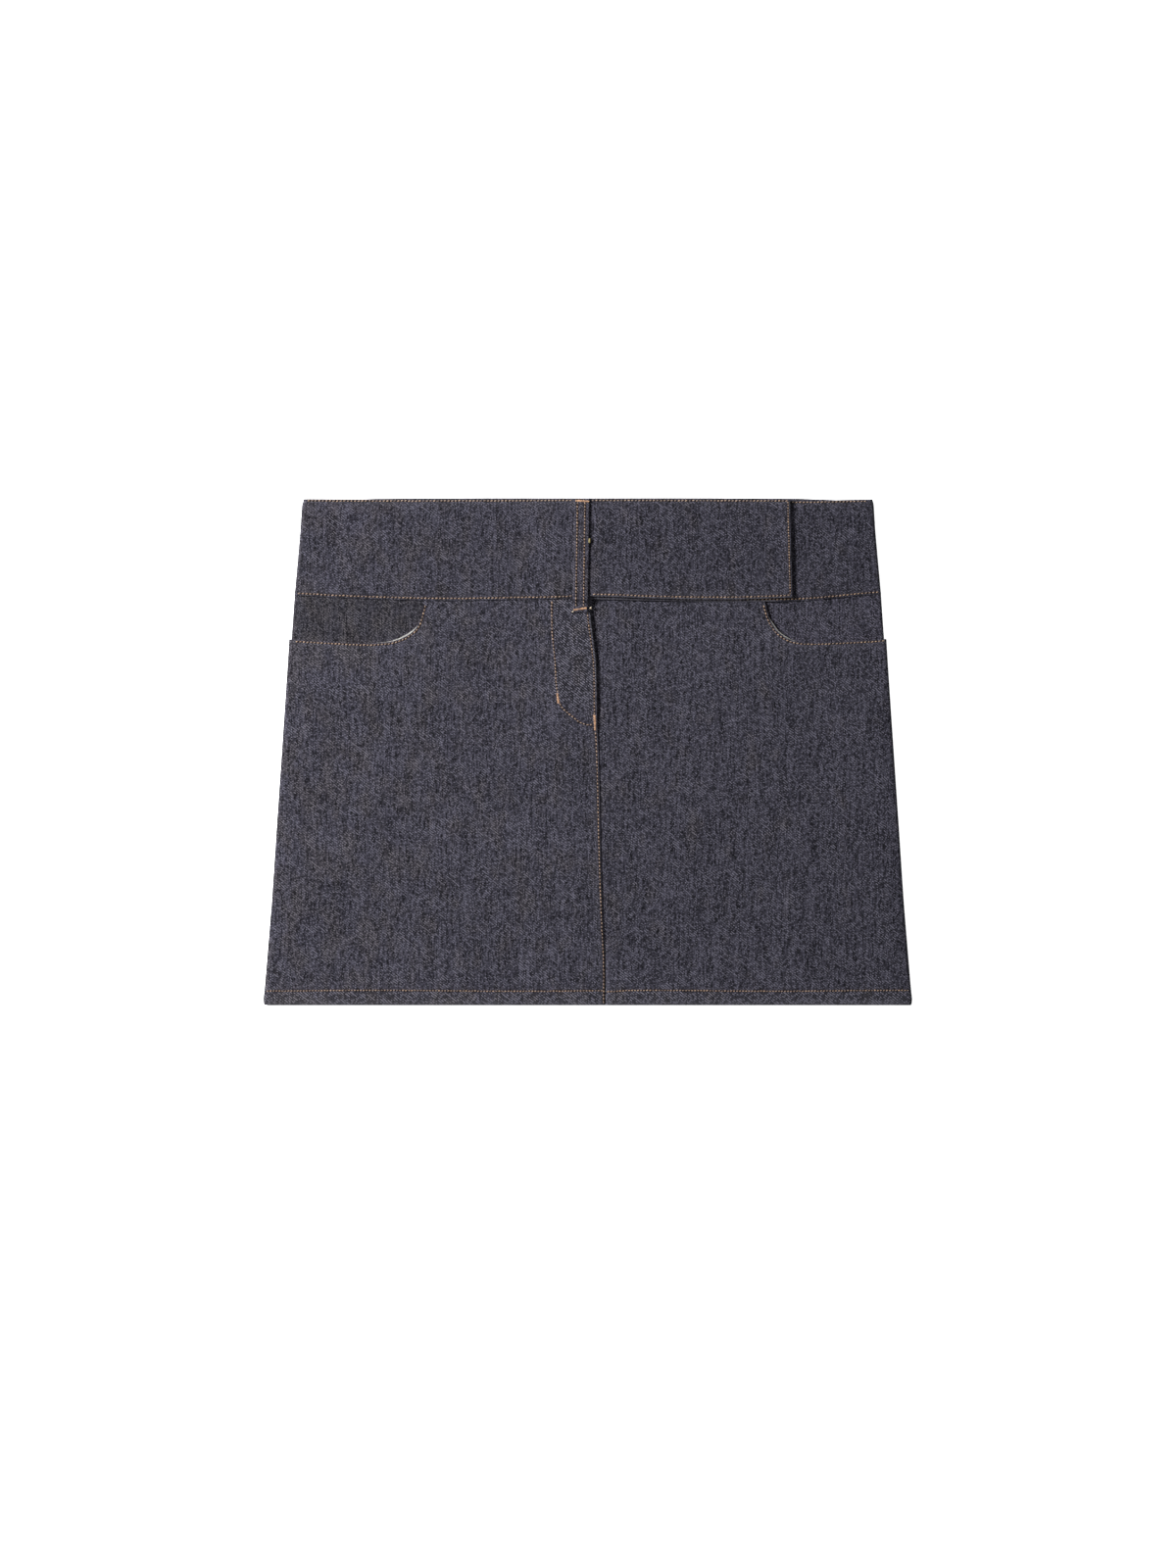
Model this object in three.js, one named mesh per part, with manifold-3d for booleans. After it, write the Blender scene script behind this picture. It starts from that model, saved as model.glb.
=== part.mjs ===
// A denim mini skirt laid flat, front up. The hem points to -Y, the waist to +Y, and the back rests on z = 0.
// Right and left are the wearer's: the right front lies towards -X, the left front towards +X.
// Millimetres throughout. Each cut piece is a wall of cloth with a lower and an upper face.
import * as THREE from "three";
import { mergeVertices } from "three/addons/utils/BufferGeometryUtils.js";
import Module from "manifold-3d";

// Cloth thicknesses
const CLOTH = 1.0; // one layer of denim
const BAND = 2.0; // the waistband, folded double
const HEM = 1.8; // the hem, turned up twice and pressed
const FLY = 1.8; // the fly's edge, turned back on itself
const LOOP = 1.6; // the belt loop, folded in three
const GAP = 0.3; // between two pieces that meet or lie on each other

// How far both faces of a wall draw in near a free edge, as a share of its thickness
const ROUND = [
  { from: 0, share: 0.28 },
  { from: 0.4, share: 0.1 },
  { from: 1, share: 0 },
];
const ROUND_INSETS = ROUND.map((row) => row.from);
const ROUND_REACH = ROUND_INSETS.at(-1);

// Heights of the lower faces of the layers that lie on each other
const ON_BACK = CLOTH + GAP;
const ON_FRONT = ON_BACK + CLOTH + GAP;
const BAND_ON_BAND = BAND + GAP;
const TAB_ON_BAND = BAND_ON_BAND + BAND + GAP;
const LOOP_ON_TAB = TAB_ON_BAND + BAND + GAP;
const LOOP_ON_FLY = ON_FRONT + FLY + GAP;
const HEM_ON_HEM = HEM + GAP;

// Lengths down the skirt
const HEM_EDGE = -173.5;
const HEM_DEPTH = 10;
const HEM_STEP_FROM = -0.4; // the cloth steps down from the turned hem to one layer about its inner edge
const HEM_STEP_TO = 0.8;
const HEM_SETTLE_FROM = -2; // and the front comes down to the back above it
const HEM_SETTLE_TO = 30;
const BAND_BASE = 104; // about where the waistband begins

// Pocket facings
const FACING_FOOT = 48;
const FACING_PAST_MOUTH = 24; // how far the facing runs on towards the centre, under the front
const FACING_CLEAR = 3; // the front keeps its full height this far past the facing
const FACING_SLOPE = 40; // and comes down over this length

// The left front's underlap: wide under the fly, narrow under the seam, and none at the hem
const FLY_LAP = 30;
const SEAM_LAP = 10;
const LAP_NARROWS_FROM = 22;
const LAP_NARROWS_TO = 8;
const LAP_FADES_FROM = -118;
const LAP_FADES_TO = -132;

// The right front is lifted over it, and comes down beside it and below the fly
const LAP_CLEAR = 2;
const LAP_SLOPE = 42;
const LIFT_NARROWS_FROM = -2;
const LIFT_NARROWS_TO = -26;

// The fly's turned part, which is thicker than one layer
const FLY_EDGE_FROM = 27;
const FLY_EDGE_TO = 31;
const FLY_FOOT_FROM = 12;
const FLY_FOOT_TO = 26;

// The side seams: the turnings inside lift the fronts beside them
const SIDE_LOFT = 1.2;
const SIDE_RISE = 5; // the rise beside the seam itself
const SIDE_TURNING = 14;
const SIDE_SLOPE = 40; // over which the front settles again past the turnings

// The right band climbs onto the left one before it becomes the tab
const UNDER_BAND_END = -20;
const CLIMB_START = -46;
const CLIMB_END = -24;

// Half of the skirt's width, from the hem up
const SKIRT_SIDE = [
  { y: -173.5, half: 221.6 },
  { y: -169.5, half: 222.0 },
  { y: -155, half: 220.2 },
  { y: -103, half: 216.3 },
  { y: -62, half: 213.6 },
  { y: -22, half: 210.9 },
  { y: 31, half: 207.3 },
  { y: 58, half: 205.5 },
  { y: 78, half: 204.3 },
  { y: 108, half: 202.6 },
];

// The back and the facings are a little narrower beside the pockets, where the front rounds over them
const BACK_SIDE = [
  { y: -173.5, half: 221.6 },
  { y: -169.5, half: 222.0 },
  { y: -155, half: 220.2 },
  { y: -103, half: 216.3 },
  { y: -22, half: 210.9 },
  { y: 31, half: 206.8 },
  { y: 60, half: 204.0 },
  { y: 78, half: 202.6 },
  { y: 108, half: 200.4 },
];

// Half of the waistband's width, round its top corner
const BAND_SIDE = [
  { y: 103, half: 200.7 },
  { y: 118.5, half: 199.5 },
  { y: 138.6, half: 197.5 },
  { y: 158.7, half: 196.2 },
  { y: 168, half: 195.6 },
  { y: 170.7, half: 195.0 },
  { y: 172.1, half: 193.9 },
  { y: 172.8, half: 192.4 },
];

// The seam that joins the skirt to its waistband
const WAIST_SEAM = [
  { x: -201, y: 106.8 },
  { x: -171, y: 105.1 },
  { x: -124, y: 103.5 },
  { x: -92, y: 103.0 },
  { x: -45, y: 103.8 },
  { x: -13, y: 104.3 },
  { x: 10, y: 103.9 },
  { x: 50, y: 102.9 },
  { x: 100, y: 102.4 },
  { x: 130, y: 102.4 },
  { x: 146, y: 102.8 },
  { x: 166, y: 104.4 },
  { x: 189, y: 106.8 },
  { x: 201, y: 107.6 },
];

// The right band's lower edge: the waist seam as far as the centre, then the tab's free edge
const TAB_FOOT = [
  { x: -201, y: 106.8 },
  { x: -171, y: 105.1 },
  { x: -124, y: 103.5 },
  { x: -92, y: 103.0 },
  { x: -45, y: 103.8 },
  { x: -15, y: 104.3 },
  { x: 4, y: 105.8 },
  { x: 50, y: 104.3 },
  { x: 97, y: 103.8 },
  { x: 129, y: 104.6 },
  { x: 140.2, y: 105.3 },
];
const TAB_END = [
  { y: 105, x: 140.2 },
  { y: 173, x: 138.5 },
];

// Top edges of the three bands
const BACK_BAND_TOP = [
  { x: -196, y: 170.8 },
  { x: -152, y: 173.0 },
  { x: 0, y: 173.5 },
  { x: 152, y: 173.0 },
  { x: 196, y: 170.8 },
];
const RIGHT_BAND_TOP = [
  { x: -196, y: 172.8 },
  { x: -152, y: 172.6 },
  { x: 0, y: 172.8 },
  { x: 140, y: 172.5 },
];
const LEFT_BAND_TOP = [
  { x: -20, y: 171.6 },
  { x: 150, y: 171.7 },
  { x: 196, y: 172.6 },
];

// The right front's free edge: the fly down to its foot, and the centre seam below
const CENTRE_EDGE = [
  { y: -173.5, x: 11.9 },
  { y: -143.5, x: 12.0 },
  { y: -112, x: 10.5 },
  { y: -64.5, x: 9.1 },
  { y: -9.5, x: 8.1 },
  { y: 19.4, x: 6.9 },
  { y: 50.3, x: 6.6 },
  { y: 65.6, x: 5.9 },
  { y: 77, x: 4.2 },
  { y: 92.5, x: 2.3 },
  { y: 108, x: 0.8 },
];

// Pocket mouths, from the side to the waist seam: distance from the centre line, and height
const RIGHT_MOUTH = [
  { out: 212, y: 77.3 },
  { out: 187, y: 75.8 },
  { out: 155, y: 74.1 },
  { out: 140, y: 74.6 },
  { out: 132, y: 75.7 },
  { out: 124.6, y: 78.6 },
  { out: 118, y: 83.7 },
  { out: 114.9, y: 89.7 },
  { out: 113.2, y: 96 },
  { out: 109, y: 112 },
];
const LEFT_MOUTH = [
  { out: 212, y: 77.8 },
  { out: 192, y: 76.2 },
  { out: 161, y: 74.7 },
  { out: 145, y: 75.0 },
  { out: 137.6, y: 76.9 },
  { out: 130.9, y: 81 },
  { out: 126.4, y: 87 },
  { out: 123.3, y: 93.8 },
  { out: 119, y: 112 },
];
const RIGHT_MOUTH_END = 110.8; // where each mouth meets the waist seam
const LEFT_MOUTH_END = 121;

// The tool that cuts the mouths
const CUTTER_TOP = 130;
const CUTTER_DEEP = 20;
const MOUTH_STEPS = 30;

// Belt loop
const LOOP_HALF = 5.35;
const LOOP_TOP = 172.9;
const LOOP_FOOT = 95;
const LOOP_LEAN = [
  { y: 95, x: -5.1 },
  { y: 173, x: -4.0 },
];
const LOOP_ROWS = [
  { y: LOOP_FOOT, low: LOOP_ON_FLY },
  { y: LOOP_FOOT + 0.4, low: LOOP_ON_FLY },
  { y: LOOP_FOOT + 1, low: LOOP_ON_FLY },
  { y: 98, low: LOOP_ON_FLY },
  { y: 100.6, low: LOOP_ON_FLY },
  { y: 101.8, low: LOOP_ON_FLY + 0.6 },
  { y: 103, low: LOOP_ON_TAB - 0.5 },
  { y: 103.9, low: LOOP_ON_TAB },
  { y: 107, low: LOOP_ON_TAB },
  { y: 140, low: LOOP_ON_TAB },
  { y: LOOP_TOP - 1, low: LOOP_ON_TAB },
  { y: LOOP_TOP - 0.4, low: LOOP_ON_TAB },
  { y: LOOP_TOP, low: LOOP_ON_TAB },
];

// Stations of the grids. Rises are measured up from the hem's edge, insets in from the side or the centre.
const HEM_RISES = [...ROUND_INSETS, 4, HEM_DEPTH + HEM_STEP_FROM, HEM_DEPTH + HEM_STEP_TO];
const BACK_LEVELS = [-103, -22, 31, 60, 78, 95];
const FRONT_LEVELS = [-156, -148, -140, -132, -125, -118, -90, -58, -26, -14, -2, 8, 15, 22, 31, 45, 60, 74];
const FRONT_TOP_SHARES = [0.33, 0.67, 1];
const FRONT_SIDE_INSETS = [...ROUND_INSETS, 2.6, 5, 14, 26, 40, 54];
const RIGHT_CENTRE_INSETS = [...ROUND_INSETS, 6, 12, 20, 27, 29, 31, 43, 57, 74];
const LEFT_CENTRE_INSETS = [0, 1, 20, 45];
const BAND_SHARES = [0, 0.006, 0.015, 0.33, 0.66, 0.93, 0.965, 0.985, 0.994, 1];
const FACING_SHARES = [0, 0.008, 0.018, 0.25, 0.5, 0.75, 1];
const CLIMB = [CLIMB_START, -41, -38, -35, -32, -29, CLIMB_END];
const UNDER_LOOP = [-15, -9, -3, 4];
const LOOP_INSETS = [...ROUND_INSETS, 3];
const BACK_STATIONS = 17; // the back and its band share them, so that their seam edges run alike

const DENIM = { color: 0x4a4850, roughness: 0.92, metalness: 0 };
const DENIM_BACK = { color: 0x47454e, roughness: 0.92, metalness: 0 };

const wasm = await Module();
wasm.setup();

const { smoothstep, lerp, clamp } = THREE.MathUtils;

// A smooth curve through a table's rows, read by one column and giving another.
function curveOf(rows, by, gives) {
  const at = rows.map((row) => row[by]);
  const value = rows.map((row) => row[gives]);
  const last = rows.length - 1;
  const slope = rows.map((row, i) => {
    const from = Math.max(i - 1, 0);
    const to = Math.min(i + 1, last);
    return (value[to] - value[from]) / (at[to] - at[from]);
  });
  return (place) => {
    const p = clamp(place, at[0], at[last]);
    let i = 0;
    while (i < last - 1 && p > at[i + 1]) i += 1;
    const span = at[i + 1] - at[i];
    const t = (p - at[i]) / span;
    const rise = t * t * (3 - 2 * t);
    const leave = t * (1 - t) * (1 - t) * slope[i];
    const arrive = t * t * (t - 1) * slope[i + 1];
    return value[i] + rise * (value[i + 1] - value[i]) + span * (leave + arrive);
  };
}

const skirtSide = curveOf(SKIRT_SIDE, "y", "half");
const backSide = curveOf(BACK_SIDE, "y", "half");
const bandSide = curveOf(BAND_SIDE, "y", "half");
const waistSeam = curveOf(WAIST_SEAM, "x", "y");
const centreEdge = curveOf(CENTRE_EDGE, "y", "x");

// A closed wall of cloth over a grid of places. Each place is { x, y, low, high }, each row runs towards +X,
// and the rows follow each other towards +Y.
function wall(rows) {
  const across = rows[0].length;
  const points = rows.flatMap((row) => row.flatMap((p) => [p.x, p.y, p.low, p.x, p.y, p.high]));
  const low = (r, c) => (r * across + c) * 2;
  const high = (r, c) => low(r, c) + 1;
  const faces = [];
  const quad = (a, b, c, d) => faces.push(a, b, c, a, c, d);
  const lastRow = rows.length - 1;
  const lastColumn = across - 1;
  for (let r = 0; r < lastRow; r += 1) {
    for (let c = 0; c < lastColumn; c += 1) {
      quad(high(r, c), high(r, c + 1), high(r + 1, c + 1), high(r + 1, c));
      quad(low(r, c), low(r + 1, c), low(r + 1, c + 1), low(r, c + 1));
    }
    quad(low(r, 0), high(r, 0), high(r + 1, 0), low(r + 1, 0));
    quad(low(r, lastColumn), low(r + 1, lastColumn), high(r + 1, lastColumn), high(r, lastColumn));
  }
  for (let c = 0; c < lastColumn; c += 1) {
    quad(low(0, c), low(0, c + 1), high(0, c + 1), high(0, c));
    quad(low(lastRow, c), high(lastRow, c), high(lastRow, c + 1), low(lastRow, c + 1));
  }
  const geometry = new THREE.BufferGeometry();
  geometry.setAttribute("position", new THREE.Float32BufferAttribute(points, 3));
  geometry.setIndex(faces);
  return geometry;
}

// A place on a wall, with both faces drawn in near a free edge.
const roundShare = curveOf(ROUND, "from", "share");

function roundedPlace(x, y, low, thickness, fromEdge) {
  const draw = roundShare(fromEdge) * thickness;
  return { x, y, low: low + draw, high: low + thickness - draw };
}

// Stations between two places, both ends left out.
function inner(from, to, count) {
  return Array.from({ length: count }, (_, i) => lerp(from, to, (i + 1) / (count + 1)));
}

// Stations between two rounded edges, both ends with their roundings.
function between(from, to, middle) {
  const start = ROUND_INSETS.map((inset) => from + inset);
  const end = ROUND_INSETS.map((inset) => to - inset).reverse();
  return [...start, ...middle(from + ROUND_REACH, to - ROUND_REACH), ...end];
}

// 1 on the hem's turned part, 0 above it.
function turnedAt(y) {
  return 1 - smoothstep(y - HEM_EDGE - HEM_DEPTH, HEM_STEP_FROM, HEM_STEP_TO);
}

function solidOf(geometry) {
  const bare = geometry.clone();
  bare.deleteAttribute("normal");
  bare.deleteAttribute("uv");
  const merged = mergeVertices(bare, 1e-4);
  return new wasm.Manifold(
    new wasm.Mesh({
      numProp: 3,
      vertProperties: merged.attributes.position.array,
      triVerts: new Uint32Array(merged.index.array),
    }),
  );
}

function geometryOf(solid) {
  const mesh = solid.getMesh();
  const geometry = new THREE.BufferGeometry();
  geometry.setAttribute("position", new THREE.BufferAttribute(mesh.vertProperties, mesh.numProp));
  geometry.setIndex(new THREE.BufferAttribute(mesh.triVerts, 1));
  return geometry;
}

// Cuts the pocket's scoop out of a front: everything above the mouth and outside it.
function cutMouth(geometry, mouth, hand) {
  const curve = new THREE.SplineCurve(mouth.map((row) => new THREE.Vector2(hand * row.out, row.y)));
  const outline = curve.getPoints(MOUTH_STEPS);
  outline.push(new THREE.Vector2(outline.at(-1).x, CUTTER_TOP));
  outline.push(new THREE.Vector2(outline[0].x, CUTTER_TOP));
  const cutter = new THREE.ExtrudeGeometry(new THREE.Shape(outline), {
    depth: CUTTER_DEEP,
    bevelEnabled: false,
  });
  cutter.translate(0, 0, -CUTTER_DEEP / 2);
  return geometryOf(solidOf(geometry).subtract(solidOf(cutter)));
}

// The back: one flat panel with its hem turned up inside.
function backPanel() {
  const levels = [...HEM_RISES.map((rise) => HEM_EDGE + rise), ...BACK_LEVELS, BAND_BASE];
  const rows = levels.map((y, r) => {
    const half = backSide(y);
    const stations = between(-half, half, (from, to) => inner(from, to, BACK_STATIONS));
    const atTop = r === levels.length - 1;
    return stations.map((x) => {
      const fromEdge = Math.min(half - Math.abs(x), y - HEM_EDGE);
      const height = atTop ? waistSeam(x) - GAP : y;
      return roundedPlace(x, height, 0, lerp(CLOTH, HEM, turnedAt(y)), fromEdge);
    });
  });
  return wall(rows);
}

// A band between a lower and an upper edge, over stations across that may lean with the height.
function band(stationsAt, footAt, topAt, lowAt) {
  const rows = BAND_SHARES.map((share) => {
    const level = lerp(BAND_BASE, topAt(0), share);
    const stations = stationsAt(level);
    const ends = [stations[0], stations.at(-1)];
    return stations.map((x) => {
      const foot = footAt(x);
      const top = topAt(x);
      const y = lerp(foot, top, share);
      const fromEdge = Math.min(x - ends[0], ends[1] - x, y - foot, top - y);
      return roundedPlace(x, y, lowAt(x), BAND, fromEdge);
    });
  });
  return wall(rows);
}

function backBand() {
  const topAt = curveOf(BACK_BAND_TOP, "x", "y");
  const middle = (from, to) => inner(from, to, BACK_STATIONS);
  const stationsAt = (y) => between(-bandSide(y), bandSide(y), middle);
  return band(stationsAt, waistSeam, topAt, () => 0);
}

function rightBand() {
  const topAt = curveOf(RIGHT_BAND_TOP, "x", "y");
  const footAt = curveOf(TAB_FOOT, "x", "y");
  const endAt = curveOf(TAB_END, "y", "x");
  const middle = (from, to) => [
    ...inner(from, CLIMB_START, 7),
    ...CLIMB,
    ...UNDER_LOOP,
    ...inner(UNDER_LOOP.at(-1), to, 7),
  ];
  const stationsAt = (y) => between(-bandSide(y), endAt(y), middle);
  const lowAt = (x) => lerp(BAND_ON_BAND, TAB_ON_BAND, smoothstep(x, CLIMB_START, CLIMB_END));
  return band(stationsAt, footAt, topAt, lowAt);
}

function leftBand() {
  const topAt = curveOf(LEFT_BAND_TOP, "x", "y");
  const middle = (from, to) => inner(from, to, 12);
  const stationsAt = (y) => between(UNDER_BAND_END, bandSide(y), middle);
  return band(stationsAt, waistSeam, topAt, () => BAND_ON_BAND);
}

// A hip facing: it lies on the back and shows above the pocket's mouth. hand is -1 for the right one.
function hipFacing(hand, mouthEnd) {
  const innerEdge = mouthEnd - FACING_PAST_MOUTH;
  const rows = FACING_SHARES.map((share) => {
    const side = backSide(lerp(FACING_FOOT, BAND_BASE, share));
    const outs = between(innerEdge, side, (from, to) => inner(from, to, 6));
    const places = outs.map((out) => {
      const x = hand * out;
      const top = waistSeam(x) - GAP;
      const y = lerp(FACING_FOOT, top, share);
      const fromEdge = Math.min(out - innerEdge, side - out, y - FACING_FOOT);
      return roundedPlace(x, y, ON_BACK, CLOTH, fromEdge);
    });
    return hand < 0 ? places.reverse() : places;
  });
  return wall(rows);
}

// The left front's inner edge lies this far under the right front.
function lapOf(y) {
  const seam = lerp(FLY_LAP, SEAM_LAP, smoothstep(-y, -LAP_NARROWS_FROM, -LAP_NARROWS_TO));
  return lerp(seam, -GAP, smoothstep(-y, -LAP_FADES_FROM, -LAP_FADES_TO));
}

// How far a front is lifted by the left front's underlap, the facing below it and the side seam's turnings.
function lapLift(fromCentre, y) {
  const narrow = smoothstep(-y, -LIFT_NARROWS_FROM, -LIFT_NARROWS_TO);
  const lap = lerp(FLY_LAP, SEAM_LAP, narrow) + LAP_CLEAR;
  return 1 - smoothstep(fromCentre, lap, lap + LAP_SLOPE);
}

function facingLift(out, y, mouthEnd) {
  const innerEdge = mouthEnd - FACING_PAST_MOUTH - FACING_CLEAR;
  const foot = FACING_FOOT - FACING_CLEAR;
  const across = smoothstep(out, innerEdge - FACING_SLOPE, innerEdge);
  const along = smoothstep(y, foot - FACING_SLOPE, foot);
  return Math.min(across, along);
}

function sideLift(fromSide) {
  const rise = smoothstep(fromSide, 0, SIDE_RISE);
  return rise * (1 - smoothstep(fromSide, SIDE_TURNING, SIDE_TURNING + SIDE_SLOPE));
}

// 1 on the fly's turned part, 0 beside it and below its foot.
function flyAt(fromCentre, y) {
  return (1 - smoothstep(fromCentre, FLY_EDGE_FROM, FLY_EDGE_TO)) * smoothstep(y, FLY_FOOT_FROM, FLY_FOOT_TO);
}

// A front. hand is -1 for the right one, and centreAt gives how far out from the centre its inner edge lies.
function front({ hand, centreAt, centreInsets, isOver, mouth, mouthEnd }) {
  const place = (out, y, side, centre) => {
    const fromSide = side - out;
    const fromCentre = out - centre;
    const lap = isOver ? lapLift(fromCentre, y) : 0;
    const layers = Math.max(lap, facingLift(out, y, mouthEnd));
    const lift = Math.max(SIDE_LOFT * sideLift(fromSide), (ON_FRONT - ON_BACK) * layers);
    const settled = smoothstep(y - HEM_EDGE - HEM_DEPTH, HEM_SETTLE_FROM, HEM_SETTLE_TO);
    const plainFace = lerp(HEM_ON_HEM + HEM, ON_BACK + lift + CLOTH, settled);
    const fly = isOver ? flyAt(fromCentre, y) : 0;
    const face = Math.max(plainFace, lerp(plainFace, ON_FRONT + FLY, fly));
    const low = lerp(face - lerp(CLOTH, FLY, fly), HEM_ON_HEM, turnedAt(y));
    const fromEdge = Math.min(fromSide, isOver ? fromCentre : ROUND_REACH, y - HEM_EDGE);
    return roundedPlace(hand * out, y, low, face - low, fromEdge);
  };
  const levels = [...HEM_RISES.map((rise) => HEM_EDGE + rise), ...FRONT_LEVELS];
  const rowAt = (levelAt, nominal) => {
    const side = skirtSide(nominal);
    const centre = centreAt(nominal);
    const nearSide = side - FRONT_SIDE_INSETS.at(-1);
    const nearCentre = centre + centreInsets.at(-1);
    const outs = [
      ...centreInsets.map((inset) => centre + inset),
      ...inner(nearCentre, nearSide, 5),
      ...FRONT_SIDE_INSETS.map((inset) => side - inset).reverse(),
    ];
    const places = outs.map((out) => place(out, levelAt(hand * out), side, centre));
    return hand < 0 ? places.reverse() : places;
  };
  const last = levels.at(-1);
  const rows = levels.map((y) => rowAt(() => y, y));
  for (const share of FRONT_TOP_SHARES) {
    const nominal = lerp(last, BAND_BASE, share);
    rows.push(rowAt((x) => lerp(last, waistSeam(x) - GAP, share), nominal));
  }
  return cutMouth(wall(rows), mouth, hand);
}

const rightFront = () =>
  front({
    hand: -1,
    centreAt: (y) => -centreEdge(y),
    centreInsets: RIGHT_CENTRE_INSETS,
    isOver: true,
    mouth: RIGHT_MOUTH,
    mouthEnd: RIGHT_MOUTH_END,
  });

const leftFront = () =>
  front({
    hand: 1,
    centreAt: (y) => centreEdge(y) - lapOf(y),
    centreInsets: LEFT_CENTRE_INSETS,
    isOver: false,
    mouth: LEFT_MOUTH,
    mouthEnd: LEFT_MOUTH_END,
  });

// The belt loop lies on the band and comes down past its edge onto the fly.
function beltLoop() {
  const middleAt = curveOf(LOOP_LEAN, "y", "x");
  const outs = LOOP_INSETS.map((inset) => LOOP_HALF - inset);
  const stations = [...outs.map((out) => -out), ...outs.reverse()];
  const rows = LOOP_ROWS.map(({ y, low }) =>
    stations.map((station) => {
      const fromEdge = Math.min(LOOP_HALF - Math.abs(station), y - LOOP_FOOT, LOOP_TOP - y);
      return roundedPlace(middleAt(y) + station, y, low, LOOP, fromEdge);
    }),
  );
  return wall(rows);
}

const skirt = new THREE.Group();

function add(name, geometry, finish) {
  const mesh = new THREE.Mesh(geometry, new THREE.MeshStandardMaterial(finish));
  mesh.name = name;
  skirt.add(mesh);
}

add("back_panel", backPanel(), DENIM_BACK);
add("waistband_back", backBand(), DENIM_BACK);
add("hip_facing_right", hipFacing(-1, RIGHT_MOUTH_END), DENIM);
add("hip_facing_left", hipFacing(1, LEFT_MOUTH_END), DENIM);
add("front_left", leftFront(), DENIM);
add("front_right", rightFront(), DENIM);
add("waistband_left", leftBand(), DENIM);
add("waistband_right", rightBand(), DENIM);
add("belt_loop", beltLoop(), DENIM);

export default skirt;
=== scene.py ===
# %% [markdown]
# # A denim mini skirt, laid flat
# This script dresses the CAD model of a short raw-denim skirt. It lies on its back, front up, its hem
# towards -Y. The CAD solids say where each cut piece lies. Here each one becomes a thin cloth with turned
# edges, a twill weave and real sewing. Every step first says what the piece is on the real skirt, how it
# could be made, and why this way was chosen.

# %% Load the frame
import math
import random

import bmesh
import bpy
import numpy as np
from mathutils import Matrix, Vector
from mathutils.bvhtree import BVHTree


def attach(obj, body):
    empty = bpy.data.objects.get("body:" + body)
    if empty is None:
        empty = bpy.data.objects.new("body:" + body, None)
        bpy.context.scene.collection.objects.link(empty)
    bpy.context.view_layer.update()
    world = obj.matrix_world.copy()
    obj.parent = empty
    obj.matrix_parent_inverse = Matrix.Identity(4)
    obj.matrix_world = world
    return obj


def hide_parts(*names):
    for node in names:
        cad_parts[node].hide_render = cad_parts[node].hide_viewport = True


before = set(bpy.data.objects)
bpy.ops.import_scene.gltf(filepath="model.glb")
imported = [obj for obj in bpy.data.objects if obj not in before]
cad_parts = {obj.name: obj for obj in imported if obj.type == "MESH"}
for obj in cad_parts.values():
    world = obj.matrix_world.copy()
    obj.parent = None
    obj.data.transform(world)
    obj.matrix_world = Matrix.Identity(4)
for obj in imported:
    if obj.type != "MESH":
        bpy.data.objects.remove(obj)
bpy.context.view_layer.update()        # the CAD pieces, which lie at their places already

TO_METRES = 0.001  # sizes below are in millimetres, and Blender's are metres
TO_MM = 1000
print("CAD pieces:", sorted(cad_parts))

# %% [markdown]
# ## Feeling a solid
# A cloth has to lie on the form of its solid. The outline and the height could be copied from the CAD
# source as tables, but then two files would hold the same numbers. Instead, rays feel the solid from above
# and below, so the frame itself gives the outline and the form.

# %% A surface that can be felt
HIGH_ABOVE = 60
EVEN_OUT = 4  # heights are averaged over this distance, which takes the facets out


class Surface:
    """The faces of a mesh, in millimetres. facing is 1 where the outer side is up, -1 where it is down."""

    def __init__(self, mesh, facing=1):
        bm = bmesh.new()
        bm.from_mesh(mesh)
        bmesh.ops.scale(bm, vec=(TO_MM, TO_MM, TO_MM), verts=bm.verts)
        self.tree = BVHTree.FromBMesh(bm)
        self.facing = facing
        bm.free()

    def touch(self, x, y, side=1):
        """The height of the face met from outside (side 1) or from inside (-1), or None off the piece."""
        start = side * self.facing * HIGH_ABOVE
        hit = self.tree.ray_cast(Vector((x, y, start)), Vector((0, 0, -start)))
        return hit[0].z if hit[0] else None

    def even(self, x, y, reach=EVEN_OUT):
        """The outer face's height, averaged over a small cross."""
        cross = ((0, 0), (reach, 0), (-reach, 0), (0, reach), (0, -reach))
        felt = [self.touch(x + dx, y + dy) for dx, dy in cross]
        felt = [z for z in felt if z is not None]
        return sum(felt) / len(felt)

    def edge(self, inside, outside):
        """The outline's point on the way from a place on the piece to a place off it."""
        on, off = Vector(inside), Vector(outside)
        for _ in range(18):
            middle = (on + off) / 2
            if self.touch(*middle) is None:
                off = middle
            else:
                on = middle
        return on

    def meet(self, start, direction, far=120, step=0.6):
        """The outline's point that a walk meets first, from a place off the piece."""
        place = Vector(start)
        ahead = Vector(direction).normalized() * step
        for _ in range(int(far / step)):
            if self.touch(*(place + ahead)) is not None:
                return self.edge(place + ahead, place)
            place = place + ahead
        return None


def solid(node, facing=1):
    return Surface(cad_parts[node].data, facing)


def lerp(a, b, share):
    return a + (b - a) * share


def clamp(value, low, high):
    return min(max(value, low), high)


def stations(start, end, count):
    """Evenly spaced numbers from start to end, both ends included."""
    return [lerp(start, end, i / (count - 1)) for i in range(count)]
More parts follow.
